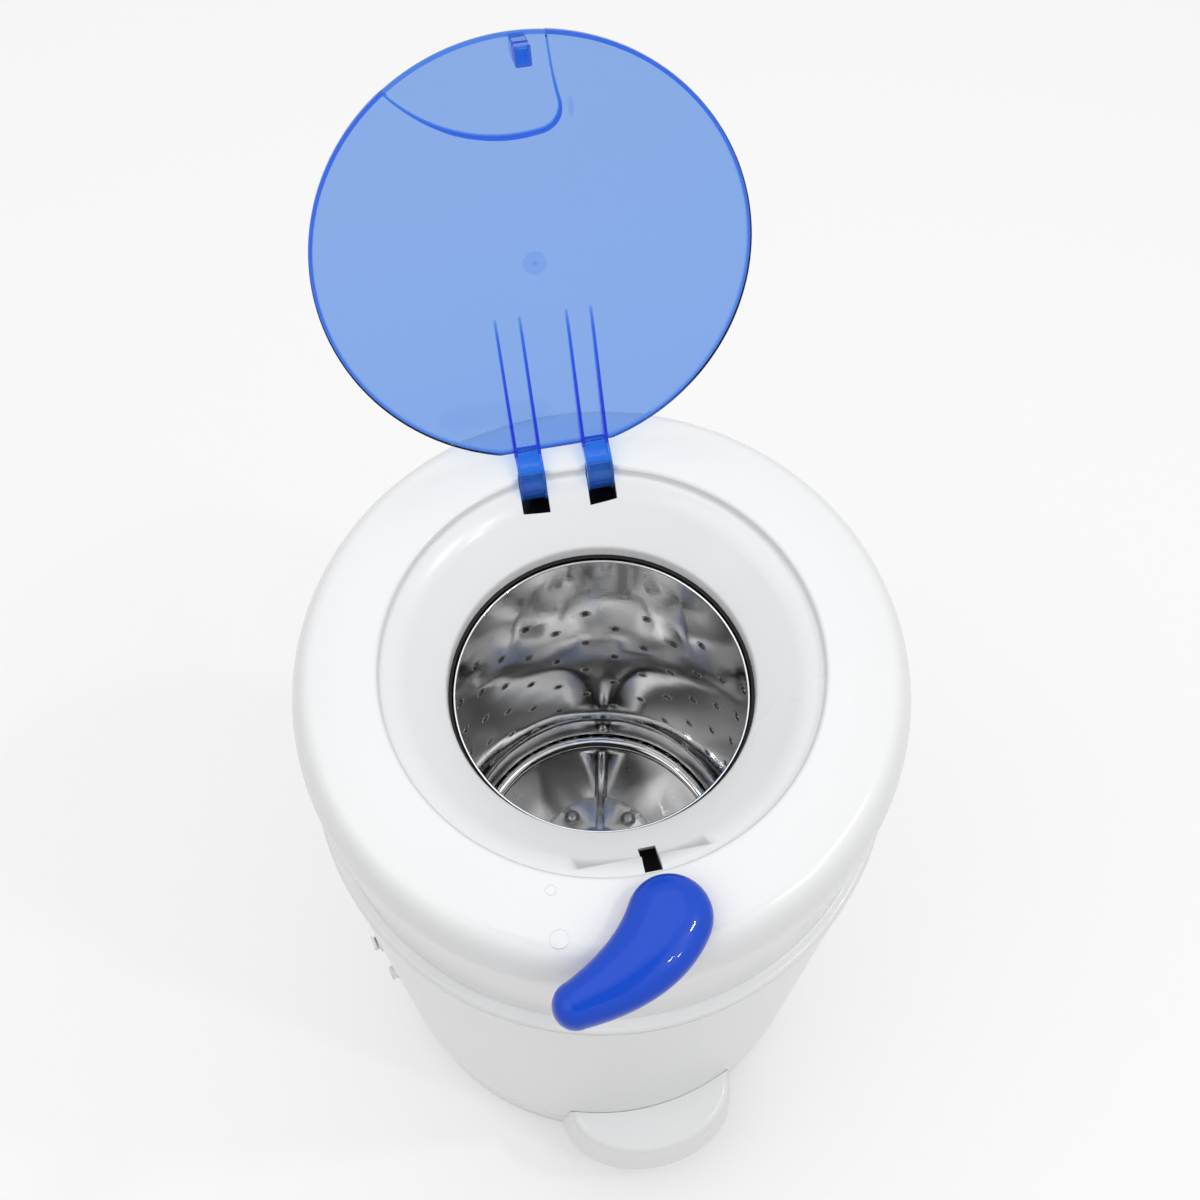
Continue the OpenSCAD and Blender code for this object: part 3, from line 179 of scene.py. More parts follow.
def clearBlueMaterial(name, changes):
    # tinted clear sheet: the absorption makes thick ribs and the rim a deeper blue
    look = {"drift": 0.03, "driftScale": 7.0, "grainScale": 400.0, "spread": 0.03, "bump": 0.05, "bumpDepth": 0.00003,
            "coatRough": 0.06, **changes}
    material, tree, shader = grainMaterial(name, look)
    feed(tree, shader, {"Transmission Weight": look["clear"], "IOR": look["ior"], "Coat Weight": look["coat"],
                        "Coat Roughness": look["coatRough"]})
    haze = addNode(tree, "ShaderNodeVolumeAbsorption", {"Color": (*look["inner"], 1), "Density": look["density"]})
    clear = addNode(tree, "ShaderNodeBsdfTransparent", {"Color": (*look["shade"], 1)})
    path = tree.nodes.new("ShaderNodeLightPath").outputs
    soft = mathNode(tree, "MAXIMUM", path["Is Shadow Ray"], path["Is Diffuse Ray"])
    surface = addNode(tree, "ShaderNodeMixShader", {0: soft, 1: shader.outputs[0], 2: clear.outputs[0]})
    volume = addNode(tree, "ShaderNodeMixShader", {0: soft, 1: haze.outputs[0]})
    feed(tree, tree.nodes["Material Output"], {"Surface": surface.outputs[0], "Volume": volume.outputs[0]})
    return material


glossWhite = mouldedMaterial("glossWhiteShell", {
    "colour": (0.86, 0.865, 0.87), "rough": 0.26, "coat": 0.25, "coatRough": 0.12, "bump": 0.06, "grainScale": 700})
whiteEnamel = mouldedMaterial("whiteEnamelCasing", {
    "colour": (0.85, 0.855, 0.86), "rough": 0.3, "coat": 0.3, "coatRough": 0.18, "bump": 0.1, "grainScale": 260,
    "bumpDepth": 0.0001})
satinGrey = mouldedMaterial("satinGreyMoulding", {
    "colour": (0.62, 0.63, 0.64), "rough": 0.48, "bump": 0.15, "grainScale": 1200})
satinBlack = mouldedMaterial("satinBlackMoulding", {
    "colour": (0.006, 0.006, 0.007), "rough": 0.55, "bump": 0.15, "grainScale": 1500})
leverBlue = mouldedMaterial("glossBlueLever", {
    "colour": (0.005, 0.066, 0.58), "rough": 0.3, "spread": 0.03, "coat": 0.32, "coatRough": 0.03, "bump": 0.02,
    "drift": 0.14, "driftScale": 22, "ior": 1.22})
mouldedRubber = mouldedMaterial("mouldedRubber", {
    "colour": (0.02, 0.02, 0.021), "rough": 0.72, "bump": 0.3, "grainScale": 1800})
varnishedWinding = mouldedMaterial("varnishedWinding", {
    "colour": (0.32, 0.14, 0.05), "rough": 0.38, "metal": 0.4, "drift": 0.5, "driftScale": 60, "bump": 0.4,
    "grainScale": 500})
brakeLining = mouldedMaterial("brakeLining", {
    "colour": (0.11, 0.075, 0.05), "rough": 0.85, "drift": 0.5, "driftScale": 90, "bump": 0.5, "grainScale": 900})
polishedDrum = sheetMaterial("polishedDrumSheet", {
    "colour": (0.8, 0.805, 0.81), "rough": 0.0, "smear": 0.012, "dentScale": 20, "bump": 0.2, "bumpDepth": 0.0012})
satinBase = sheetMaterial("satinDrumBase", {
    "colour": (0.9, 0.9, 0.9), "rough": 0.24, "smear": 0.1, "dentScale": 14, "bump": 0.2, "bumpDepth": 0.001})
zincSteel = sheetMaterial("zincPlatedSteel", {
    "colour": (0.62, 0.63, 0.64), "rough": 0.26, "smear": 0.15, "lineScale": 120, "bump": 0.06})
pressedSteel = sheetMaterial("pressedSteel", {
    "colour": (0.36, 0.37, 0.39), "rough": 0.38, "smear": 0.2, "lineScale": 90, "bump": 0.1})
castAluminium = sheetMaterial("castAluminium", {
    "colour": (0.6, 0.61, 0.62), "rough": 0.42, "smear": 0.2, "lineScale": 200, "bump": 0.3, "dentScale": 300,
    "bumpDepth": 0.0003})
clearBlue = clearBlueMaterial("clearBlueLid", {
    "colour": (0.99, 0.88, 0.89), "inner": (0.02, 0.49, 0.965), "density": 600.0, "rough": 0.02, "clear": 1.0,
    "ior": 1.2, "coat": 0.4, "shade": (0.86, 0.92, 1.0)})
armBlue = clearBlueMaterial("clearBlueArms", {
    "colour": (0.085, 0.33, 0.88), "inner": (0.3, 0.6, 0.95), "density": 50.0, "rough": 0.1, "clear": 0.8, "ior": 1.25,
    "coat": 0.3, "shade": (0.6, 0.75, 0.97)})
print("materials built")

finishes = {
    "white_shell": glossWhite, "white_casing": whiteEnamel, "grey_plastic": satinGrey, "black_plastic": satinBlack,
    "blue_clear": clearBlue, "blue_gloss": leverBlue, "drum_steel": polishedDrum, "bright_steel": zincSteel,
    "dark_steel": pressedSteel, "cast_aluminium": castAluminium, "rubber": mouldedRubber,
    "copper_iron": varnishedWinding, "brake_lining": brakeLining}
slotOf = {s["node"]: s["material_slot"] for s in frame["record"]["subparts"]}
bodyOf = {n: b for b, members in frame["record"]["behaviour"]["bodies"].items() for n in members}


def setMaterial(obj, material):
    obj.data.materials.clear()
    obj.data.materials.append(material)


def meshObject(name, verts, faces):
    mesh = bpy.data.meshes.new(name)
    mesh.from_pydata([tuple(v) for v in verts], [], faces)
    mesh.update()
    obj = bpy.data.objects.new(name, mesh)
    bpy.context.scene.collection.objects.link(obj)
    return obj


def smoothByAngle(mesh, degrees):
    for p in mesh.polygons:
        p.use_smooth = True
    mesh.set_sharp_from_angle(angle=math.radians(degrees))


def faceOutward(mesh, weld=0.0):
    bm = bmesh.new()
    bm.from_mesh(mesh)
    if weld:
        bmesh.ops.remove_doubles(bm, verts=bm.verts, dist=weld)
    bmesh.ops.recalc_face_normals(bm, faces=bm.faces)
    bm.to_mesh(mesh)
    bm.free()


def place(obj, node, material=None):
    setMaterial(obj, material or finishes[slotOf[node]])
    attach(obj, bodyOf[node])


def skin(node, degrees=32, material=None):
    # copy of the CAD node's shape, merged and shaded smooth, in a finished material
    obj = nodes[node].copy()
    obj.data = nodes[node].data.copy()
    obj.name = node + "_skin"
    obj.parent = None
    for key in list(obj.keys()):
        del obj[key]
    bpy.context.scene.collection.objects.link(obj)
    bm = bmesh.new()
    bm.from_mesh(obj.data)
    bmesh.ops.remove_doubles(bm, verts=bm.verts, dist=2e-6)
    bmesh.ops.dissolve_degenerate(bm, dist=1e-7, edges=bm.edges)
    bm.to_mesh(obj.data)
    bm.free()
    if obj.data.has_custom_normals:
        obj.data.normals_split_custom_set([(0, 0, 0)] * len(obj.data.loops))
    smoothByAngle(obj.data, degrees)
    place(obj, node, material)
    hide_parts(node)


def arcPoints(cx, cy, rx, ry, a0, a1, n):
    return [(cx + rx * math.cos(math.radians(a0 + (a1 - a0) * i / n)),
             cy + ry * math.sin(math.radians(a0 + (a1 - a0) * i / n))) for i in range(n + 1)]


def turned(name, outline, segments, degrees=40, at=(0, 0)):
    # closed outline in (radius, height) mm, turned about an upright axis
    count = len(outline)
    verts, faces = [], []
    for i in range(segments):
        a = 2 * math.pi * i / segments
        verts += [(r * mm * math.cos(a), r * mm * math.sin(a), z * mm) for r, z in outline]
    for i in range(segments):
        j = (i + 1) % segments
        faces += [(i * count + k, j * count + k, j * count + (k + 1) % count, i * count + (k + 1) % count)
                  for k in range(count)]
    obj = meshObject(name, verts, faces)
    faceOutward(obj.data, 1e-7)
    smoothByAngle(obj.data, degrees)
    obj.data.transform(Matrix.Translation((at[0] * mm, at[1] * mm, 0)))
    return obj


# carried-over pieces: a finish for each node, and a smooth skin where edges are round
for node, obj in nodes.items():
    setMaterial(obj, finishes[slotOf[node]])

smoothNodes = [
    "base_shell", "drain_nozzle", "drain_hose", "rubber_feet", "outer_casing", "cord_hooks", "cord_gland", "top_cover",
    "mouth_seal", "tub_lid", "outer_tub", "shaft_seal", "motor_housing", "stator", "rubber_mounts", "run_capacitor",
    "hinge_pockets", "hinge_pins", "latch_guide", "cover_screws", "lever_shaft", "latch_bolt", "brake_rod",
    "brake_drum", "drum_shaft", "hub_bolts"]
for node in smoothNodes:
    skin(node, 24 if node == "top_cover" else 32)
skin("drum_base", 32, satinBase)
skin("drum_hub", 32, satinBase)
print("carried-over pieces dressed")


# the lid is built closed and swung open at the end
lidLook = {
    "radius": 130.2, "top": 638.5, "crown": 1.0, "wall": 2.2, "rim": 5.7, "edge": 2.4, "chord": 125.0, "skirt": 3.2,
    "pin": (140.5, 631.5), "open": 115.5, "rimSamples": 640, "chordSamples": 40,
    "sweepAt": (-3.0, -165.0), "sweepRadius": 89.7, "cornerAt": (10.4, -89.0), "cornerRadius": 12.5,
    "tailBend": (19.9, -106.9), "tailEnd": (19.2, -134.2), "drop": 1.4, "soft": 0.35,
    "bandAt": (0, 0.1, 0.2, 0.33, 0.5, 0.62, 0.75, 0.83, 0.9, 1.0),
    "bandWidth": (0.75, 0.75, 1.1, 2.1, 2.5, 2.3, 2.2, 1.6, 1.0, 0.75),
    "bandHeight": (1.4, 1.4, 2.0, 2.4, 2.4, 2.4, 2.4, 2.2, 1.2, 0.2),
    "netRings": (0.01, 12, 24, 36, 48, 60, 72, 84, 96, 107, 116, 122), "netStep": 0.9, "netGap": 1.5,
    "gateAt": (0, 1.7), "gate": 7.2, "gateStub": 1.3, "markAt": (29.6, -86.0), "mark": (1.6, 5.6)}
armLook = {
    "middle": 2.5, "spacing": 21.8, "width": 16.8, "neckIn": 10.8, "neckOut": 13.2, "flangeOut": 17.7, "flange": 1.8,
    "start": 176.0, "end": 331.0, "boss": 4.6, "bore": 2.15, "ribLength": 91.0, "ribDrop": 9.0, "ribLean": -1.4,
    "ribHalf": 1.0, "ribGrow": 0.35, "ribFoot": 2.6, "markAngles": (230.0, 224.0), "markRadius": 3.1,
    "mark": ((-0.45, -0.3), (0.45, -0.3), (0.3, 0.5), (-0.3, 0.5)), "nose": 3.3, "noseFrom": 240.0, "noseRun": 45.0,
    "web": [(-15.45, 7), (-15.2, 7), (-14.2, 6.8), (-12.9, 5.9), (-12.0, 4.4), (-11.4, 2.4), (-11.05, 0.8),
            (-10.95, -0.6), (-13.1, -0.6), (-13.5, 0.9), (-14.1, 2.4), (-15.0, 3.8), (-15.45, 4.3)],
    "spokeTurn": 12.0, "spoke": ((2.4, -1.6), (14.4, -1.6), (14.4, 1.6), (2.4, 1.6))}
hookLook = {
    "at": (3.5, -123.0), "width": 9.0, "depth": 11.0, "low": 610.5, "wall": 1.8, "windowAt": 617.5, "window": 4.2,
    "corner": 0.7}


def lidEdge(look, inset):
    # plan of the lid: the long arc from the left hinge corner, then the straight rear edge
    r, c = look["radius"] - inset, look["chord"] - inset
    a = math.asin(c / r)
    turnBy = np.linspace(math.pi - a, 2 * math.pi + a, look["rimSamples"] + 1)
    arc = np.c_[r * np.cos(turnBy), r * np.sin(turnBy)]
    x = np.linspace(r * math.cos(a), -r * math.cos(a), look["chordSamples"] + 1)[1:-1]
    return np.vstack([arc, np.c_[x, np.full(len(x), c)]])


def sweepLine(look):
    # outline of the lowered area that the lever sweeps over, left to right, open at both ends
    line = arcPoints(*look["sweepAt"], look["sweepRadius"], look["sweepRadius"], 150, 80, 56)
    line += arcPoints(*look["cornerAt"], look["cornerRadius"], look["cornerRadius"], 80, -10, 20)[1:]
    p0, p1, p2 = (np.array(p) for p in (line[-1], look["tailBend"], look["tailEnd"]))
    for t in np.linspace(0, 1, 16)[1:]:
        line.append(tuple((1 - t) ** 2 * p0 + 2 * t * (1 - t) * p1 + t * t * p2))
    return np.array(line)


def lidShape(look, plan):
    # at each plan point: outer height, inner height, depth inside the lowered area, and width of its band
    line = sweepLine(look)
    a, run = line[:-1], np.diff(line, axis=0)
    t = np.clip(((plan[:, None] - a) * run).sum(2) / (run ** 2).sum(1), 0, 1)
    off = plan[:, None] - (a + t[..., None] * run)
    away = np.hypot(off[..., 0], off[..., 1])
    near = away.argmin(1)
    rows = np.arange(len(plan))
    side = run[near, 0] * (plan[:, 1] - a[near, 1]) - run[near, 1] * (plan[:, 0] - a[near, 0])
    depth = away[rows, near] * np.where(side < 0, 1, -1)
    share = near / (len(a) - 1)
    wide = np.interp(share, look["bandAt"], look["bandWidth"])
    tall = np.interp(share, look["bandAt"], look["bandHeight"])

    def step(d):
        s = np.clip((d + look["soft"]) / (2 * look["soft"]), 0, 1)
        return s * s * (3 - 2 * s)

    crown = look["top"] + look["crown"] * (1 - (plan ** 2).sum(1) / look["radius"] ** 2)
    under = crown - look["wall"] - look["drop"] * step(depth + wide) - tall * (step(depth + wide) - step(depth))
    return crown - look["drop"] * step(depth), under, depth, wide


def buildLidSheet(look):
    bound = lidEdge(look, look["skirt"])
    keep = lidEdge(look, look["skirt"] + 0.8)
    points = [tuple(p) for p in bound]
    edges = [(i, (i + 1) % len(bound)) for i in range(len(bound))]
    limit, chord = math.hypot(*keep[0]), keep[:, 1].max()

    def inside(p):
        return math.hypot(*p) < limit and p[1] < chord

    line = sweepLine(look)
    run = np.gradient(line, axis=0)
    normal = np.c_[-run[:, 1], run[:, 0]] / np.linalg.norm(run, axis=1)[:, None]
    wide = np.interp(np.linspace(0, 1, len(line)), look["bandAt"], look["bandWidth"])[:, None]
    soft = look["soft"]
    for depth in (-wide - soft, -wide, -wide + soft, -soft, 0, soft):  # lines of the mesh along the relief
        last = None
        for p in line - normal * depth:
            if inside(p):
                points.append(tuple(p))
                if last is not None:
                    edges.append((last, len(points) - 1))
                last = len(points) - 1
            else:
                last = None
    rings = np.array([(r * math.cos(a), r * math.sin(a)) for r in look["netRings"]
                      for a in np.linspace(0, 2 * math.pi, max(1, int(r * look["netStep"])) + 1)[:-1]])
    depth, wide = lidShape(look, rings)[2:]
    gap = soft + look["netGap"]
    points += [tuple(p) for p, d, w in zip(rings, depth, wide) if (d > gap or d < -w - gap) and inside(p)]
    found = geometry.delaunay_2d_cdt([Vector(p) for p in points], edges, [], 0, 1e-5)
    flat, triangles, origins = np.array([tuple(v) for v in found[0]]), found[2], found[3]
    first = {o: i for i, group in enumerate(origins) for o in group}
    top, under = lidShape(look, flat)[:2]
    count, n = len(flat), len(bound)
    verts = [(x, y, z) for (x, y), z in zip(flat, top)]
    verts += [(x, y, z) for (x, y), z in zip(flat, under)]
    faces = [tuple(t) for t in triangles] + [tuple(i + count for i in t)[::-1] for t in triangles]
    e, low = look["edge"], look["top"] - look["rim"]
    # rim section: inset, face that the height is taken from, and height
    loops = [(e - e * math.cos(math.radians(a)), 0, e * math.sin(math.radians(a)) - e) for a in range(90, -1, -10)]
    loops += [(0, None, low + 0.6), (0.16, None, low + 0.16), (0.6, None, low), (e - 0.6, None, low),
              (e - 0.16, None, low + 0.16), (e, None, low + 0.6)]
    loops += [(e, 1, -0.8), (e + 0.22, 1, -0.24)]
    chain = [[first[i] for i in range(n)]]
    for inset, face, lift in loops:
        ring = lidEdge(look, inset)
        z = np.full(n, lift) if face is None else lidShape(look, ring)[face] + lift
        chain.append(range(len(verts), len(verts) + n))
        verts += [(x, y, h) for (x, y), h in zip(ring, z)]
    chain.append([first[i] + count for i in range(n)])
    for last, here in zip(chain, chain[1:]):
        faces += [(last[i], here[i], here[(i + 1) % n], last[(i + 1) % n]) for i in range(n)]
    return meshObject("lidSheet", np.array(verts) * mm, faces)


def lofted(name, rings):
    # closed body through rings of equal count, in mm, capped at both ends
    n = len(rings[0])
    verts = [p for ring in rings for p in ring]
    faces = [(j * n + i, j * n + (i + 1) % n, (j + 1) * n + (i + 1) % n, (j + 1) * n + i)
             for j in range(len(rings) - 1) for i in range(n)]
    faces += [tuple(range(n))[::-1], tuple((len(rings) - 1) * n + i for i in range(n))]
    obj = meshObject(name, np.array(verts) * mm, faces)
    faceOutward(obj.data)
    return obj


def box(name, low, high):
    (x0, y0, z0), (x1, y1, z1) = low, high
    return lofted(name, [[(x0, y0, z), (x1, y0, z), (x1, y1, z), (x0, y1, z)] for z in (z0, z1)])


def barAlongX(name, x0, x1, y, z, r, count=40):
    angles = np.linspace(0, 2 * math.pi, count + 1)[:-1]
    return lofted(name, [[(x, y + r * math.cos(a), z + r * math.sin(a)) for a in angles] for x in (x0, x1)])


def combine(obj, others, operation="UNION"):
    for other in others:
        joint = obj.modifiers.new("combine", "BOOLEAN")
        joint.operation = operation
        joint.solver = "MANIFOLD"
        joint.object = other
        bpy.context.view_layer.update()
        obj.data = bpy.data.meshes.new_from_object(obj.evaluated_get(bpy.context.evaluated_depsgraph_get()))
        obj.modifiers.clear()
        bpy.data.objects.remove(other)
    return obj


def buildRib(look, lid, x):
    rings = []
    for t in np.linspace(0, 1, 19):
        y = lid["chord"] - look["ribLength"] * (1 - t)
        mid = x + look["ribLean"] * (1 - t)
        under = lidShape(lid, np.array([(mid, y)]))[1][0]
        drop = (look["ribDrop"] - look["ribFoot"]) * t + look["ribFoot"] * min(1, 0.35 + 5 * t)
        half = look["ribHalf"] + look["ribGrow"] * t
        rings.append([(mid - half, y, under + 0.5), (mid - half * 0.8, y, under - drop),
                      (mid + half * 0.8, y, under - drop), (mid + half, y, under + 0.5)])
    return lofted("lidRib", rings)


def buildArm(look, lid, x, markAngle):
    pinY, pinZ = lid["pin"]
    half, out, band, inner = look["width"] / 2, look["flangeOut"], look["neckOut"], look["neckIn"]
    lip = half - look["flange"]
    section = [(inner, -half), (out - 0.5, -half), (out, -half + 0.5), (out, -lip - 0.2), (out - 0.3, -lip),
               (band + 0.6, -lip), (band, -lip + 0.6)]
    section += [(r, -w) for r, w in section[::-1]]
    rings = []
    for a in np.linspace(look["start"], look["end"], 64):
        c, s = math.cos(math.radians(a)), math.sin(math.radians(a))
        g = min(1, max(0, (a - look["noseFrom"]) / look["noseRun"]))
        g = look["nose"] * g * g * (3 - 2 * g)
        grown = [(r + g * (r < band + 0.7), w) for r, w in section]
        rings.append([(x + w, pinY + r * c, pinZ + r * s) for r, w in grown])
    arm = lofted("lidArm", rings)
    web = lofted("lidWeb", [[(x + w, pinY + y, pinZ + z) for y, z in look["web"]] for w in (-half, half)])
    boss = barAlongX("lidBoss", x - half, x + half, pinY, pinZ, look["boss"])
    lean = math.radians(look["end"] - look["spokeTurn"])
    c, s = math.cos(lean), math.sin(lean)
    spoke = lofted("lidSpoke", [[(x + w, pinY + r * c - k * s, pinZ + r * s + k * c) for r, k in look["spoke"]]
                                for w in (-half, half)])
    mark = []
    for p in np.linspace(0, 2 * math.pi, 33)[:-1]:
        ring = []
        for r, h in look["mark"]:
            reach = look["markRadius"] + r
            a = math.radians(markAngle) + reach * math.cos(p) / band
            ring.append((x + reach * math.sin(p), pinY + (band + h) * math.cos(a), pinZ + (band + h) * math.sin(a)))
        mark.append(ring)
    n, k = len(mark), len(look["mark"])
    faces = [(j * k + i, j * k + (i + 1) % k, (j + 1) % n * k + (i + 1) % k, (j + 1) % n * k + i)
             for j in range(n) for i in range(k)]
    ejector = meshObject("lidEjector", np.array([p for ring in mark for p in ring]) * mm, faces)
    faceOutward(ejector.data)
    return combine(arm, [web, boss, spoke, ejector])


def roundPad(name, x, y, rx, ry, z0, z1, soft=0.3, count=48):
    # low oval pad with a softened lower edge
    angles = np.linspace(0, 2 * math.pi, count + 1)[:-1]
    rings = [[(x + rx * k * math.cos(a), y + ry * k * math.sin(a), z) for a in angles]
             for z, k in ((z1, 1.0), (z0 + soft, 1.0), (z0 + soft * 0.3, 1 - soft * 0.3 / rx), (z0, 1 - soft / rx))]
    return lofted(name, rings)


def buildHook(look, lid):
    x, y = look["at"]
    w, d, t = look["width"] / 2, look["depth"] / 2, look["wall"]
    top = lidShape(lid, np.array([look["at"]]))[1][0]
    c = look["corner"]
    plan = [(-w + c, -d), (w - c, -d), (w, -d + c), (w, d - c), (w - c, d), (-w + c, d), (-w, d - c), (-w, -d + c)]
    hook = lofted("lidHook", [[(x + k * px, y + k * py, z) for px, py in plan]
                              for z, k in ((look["low"], 0.9), (look["low"] + 0.6, 1.0), (top - 0.02, 1.0))])
    core = box("hookCore", (x - w + t, y - d + t, look["low"] - 1), (x + w - t, y + d - t, top - 2.4))
    window = box("hookWindow", (x - w - 2, y - d - 1, look["windowAt"] - look["window"] / 2),
                 (x + w + 2, y + d - t, look["windowAt"] + look["window"] / 2))
    return combine(hook, [core, window], "DIFFERENCE")


def buildLid(look, arm):
    sheet = buildLidSheet(look)
    extras, arms = [], []
    for side, mark in zip((-1, 1), arm["markAngles"]):
        x = arm["middle"] + side * arm["spacing"]
        extras += [buildRib(arm, look, x + e * (arm["width"] - arm["flange"]) / 2) for e in (-1, 1)]
        bore = barAlongX("bore", x - 12, x + 12, *look["pin"], arm["bore"])
        arms.append(combine(buildArm(arm, look, x, mark), [bore], "DIFFERENCE"))
    under = look["top"] + look["crown"] - look["wall"]
    gate, stub = look["gate"], look["gateStub"]
    extras.append(roundPad("lidGate", *look["gateAt"], gate, gate, under - 0.35, under + 0.8))
    extras.append(roundPad("lidGateStub", *look["gateAt"], stub, stub, under - 0.9, under + 0.8, 0.3, 20))
    extras.append(roundPad("lidMark", *look["markAt"], *look["mark"], look["top"] - look["wall"] + 0.1,
                           look["top"] - 0.8, 0.2))
    combine(sheet, extras)
    return [sheet] + arms + [buildHook(hookLook, look)]


def swingOpen(obj, look):
    hinge = Matrix.Translation((0, look["pin"][0] * mm, look["pin"][1] * mm))
    obj.data.transform(hinge @ Matrix.Rotation(math.radians(-look["open"]), 4, "X") @ hinge.inverted())
    smoothByAngle(obj.data, 34)


lidPieces = buildLid(lidLook, armLook)
for piece, name, glass in zip(lidPieces, ("lidShell", "lidArmLeft", "lidArmRight", "lidLatchHook"),
                              (clearBlue, armBlue, armBlue, armBlue)):
    piece.name = name
    swingOpen(piece, lidLook)
    place(piece, "lid", glass)
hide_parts("lid")
print("lid built:", len(lidPieces[0].data.polygons), "faces")


spoutLook = {"middle": 9.5, "half": 77.8, "reach": 235.0, "front": 54.4, "top": 127.0, "foot": 48.0, "flare": 6.0,
             "round": 10.0, "wall": 3.0, "casing": 192.8}


def spoutPlan(look, inset):
    mid, half = look["middle"], look["half"]
    front = -look["reach"] + look["front"]
    side = [(mid - half + inset, front + d) for d in (28, 18, 9)]
    arc = arcPoints(mid, front, half - inset, look["front"] - inset, 180, 360, 96)
    return side + arc + [(mid + half - inset, front + d) for d in (9, 18, 28)]


def spoutLoft(look, shrink, foot):
    # flared side, then the rounded shoulder
    rings = []
    for t in np.linspace(0, 1, 7):
        z = foot + (look["top"] - shrink - look["round"] - foot) * t
        rings.append([(x, y, z) for x, y in spoutPlan(look, shrink + look["flare"] * t)])
    for a in np.linspace(0, math.pi / 2, 13)[1:]:
        z = look["top"] - shrink - look["round"] * (1 - math.sin(a))
        inset = shrink + look["flare"] + look["round"] * (1 - math.cos(a)) * 0.8
        rings.append([(x, y, z) for x, y in spoutPlan(look, inset)])
    return lofted("spoutHood", rings)


def buildSpout(look):
    hood = spoutLoft(look, 0, look["foot"])
    core = spoutLoft(look, look["wall"], look["foot"] - 1)
    angles = np.linspace(0, 2 * math.pi, 321)[:-1]
    casing = lofted("casingCut", [[(look["casing"] * math.cos(a), look["casing"] * math.sin(a), z) for a in angles]
                                  for z in (look["foot"] - 10, look["top"] + 10)])
    combine(hood, [core, casing], "DIFFERENCE")
    smoothByAngle(hood.data, 40)
    return hood


spoutHood = buildSpout(spoutLook)
place(spoutHood, "drain_spout")
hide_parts("drain_spout")
print("spout hood built")


leverLook = {
    "pivot": (5.0, -161.5), "foot": 645.0, "dome": 17.0, "broad": 23.4, "tip": 12.9, "tipAt": (-58.1, -36.0),
    "mid": (-15.6, -25.0), "taper": 1.69, "dish": 1.1, "dishRadius": 13.0, "power": 2.3, "steps": 44, "rings": 26,
    "side": [(0.0, 0.9), (0.3, 0.93), (1.2, 0.975), (3.0, 1.0)], "least": 0.012,
    "collar": [(5.2, 640.5), (11.6, 640.5), (12.0, 640.9), (12.0, 646.0), (5.2, 646.0)]}


def leverOutline(look, k):
    n = look["steps"]
    mid, tip = np.array(look["mid"]), np.array(look["tipAt"])
    t = np.linspace(0, 1, n + 1)[:, None]
    centre = 2 * t * (1 - t) * mid + t * t * tip
    run = (1 - t) * mid + t * (tip - mid)
    run /= np.linalg.norm(run, axis=1)[:, None]
    radius = k * (look["broad"] + (look["tip"] - look["broad"]) * t ** look["taper"])
    side = np.c_[run[:, 1], -run[:, 0]]
    a1 = math.atan2(run[-1][1], run[-1][0])
    a0 = math.atan2(run[0][1], run[0][0])
    capTip = np.radians(np.linspace(-90, 90, 21)[1:-1]) + a1
    capFoot = np.radians(np.linspace(90, 270, 33)[1:-1]) + a0
    return np.vstack([
        centre + radius * side,
        centre[-1] + radius[-1] * np.c_[np.cos(capTip), np.sin(capTip)],
        (centre - radius * side)[::-1],
        centre[0] + radius[0] * np.c_[np.cos(capFoot), np.sin(capFoot)]])


def buildLever(look):
    # side wall, then a dome with a shallow dish over the pivot
    levels, wall = list(look["side"]), look["side"][-1][0]
    for i in range(1, look["rings"] + 1):
        k = max(math.cos(math.pi / 2 * i / look["rings"]), look["least"])
        levels.append((wall + (look["dome"] - wall) * (1 - k ** look["power"]) ** (1 / look["power"]), k))
    rings = []
    for z, k in levels:
        ring = []
        for x, y in leverOutline(look, k):
            away = math.hypot(x, y) / look["dishRadius"]
            dip = look["dish"] * math.exp(-away ** 2) if z > 6 else 0.0
            ring.append((look["pivot"][0] + x, look["pivot"][1] + y, look["foot"] + z - dip))
        rings.append(ring)
    obj = lofted("leverHandle", rings)
    smoothByAngle(obj.data, 50)
    return obj


lever = buildLever(leverLook)
place(lever, "lever_handle")
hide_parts("lever_handle")
place(turned("leverCollar", leverLook["collar"], 64, at=leverLook["pivot"]), "lever_handle")
print("lever built")


# moulding marks on the cover: x, y, radius, width
coverMarks = {"flatAt": 640.0, "rings": [(-54.9, -132.3, 2.9, 0.5), (-55.1, -159.4, 5.2, 0.55)], "height": 0.55,
              "sunk": 0.4}


def buildCoverMarks(look):
    low, high = look["flatAt"] - look["sunk"], look["flatAt"] + look["height"]
    return [turned("coverMark", [(r - w, low), (r + w, low), (r + w * 0.6, high), (r - w * 0.6, high)], 48, 60, (x, y))
            for x, y, r, w in look["rings"]]


for mark in buildCoverMarks(coverMarks):
    place(mark, "top_cover")
print("cover marks built")

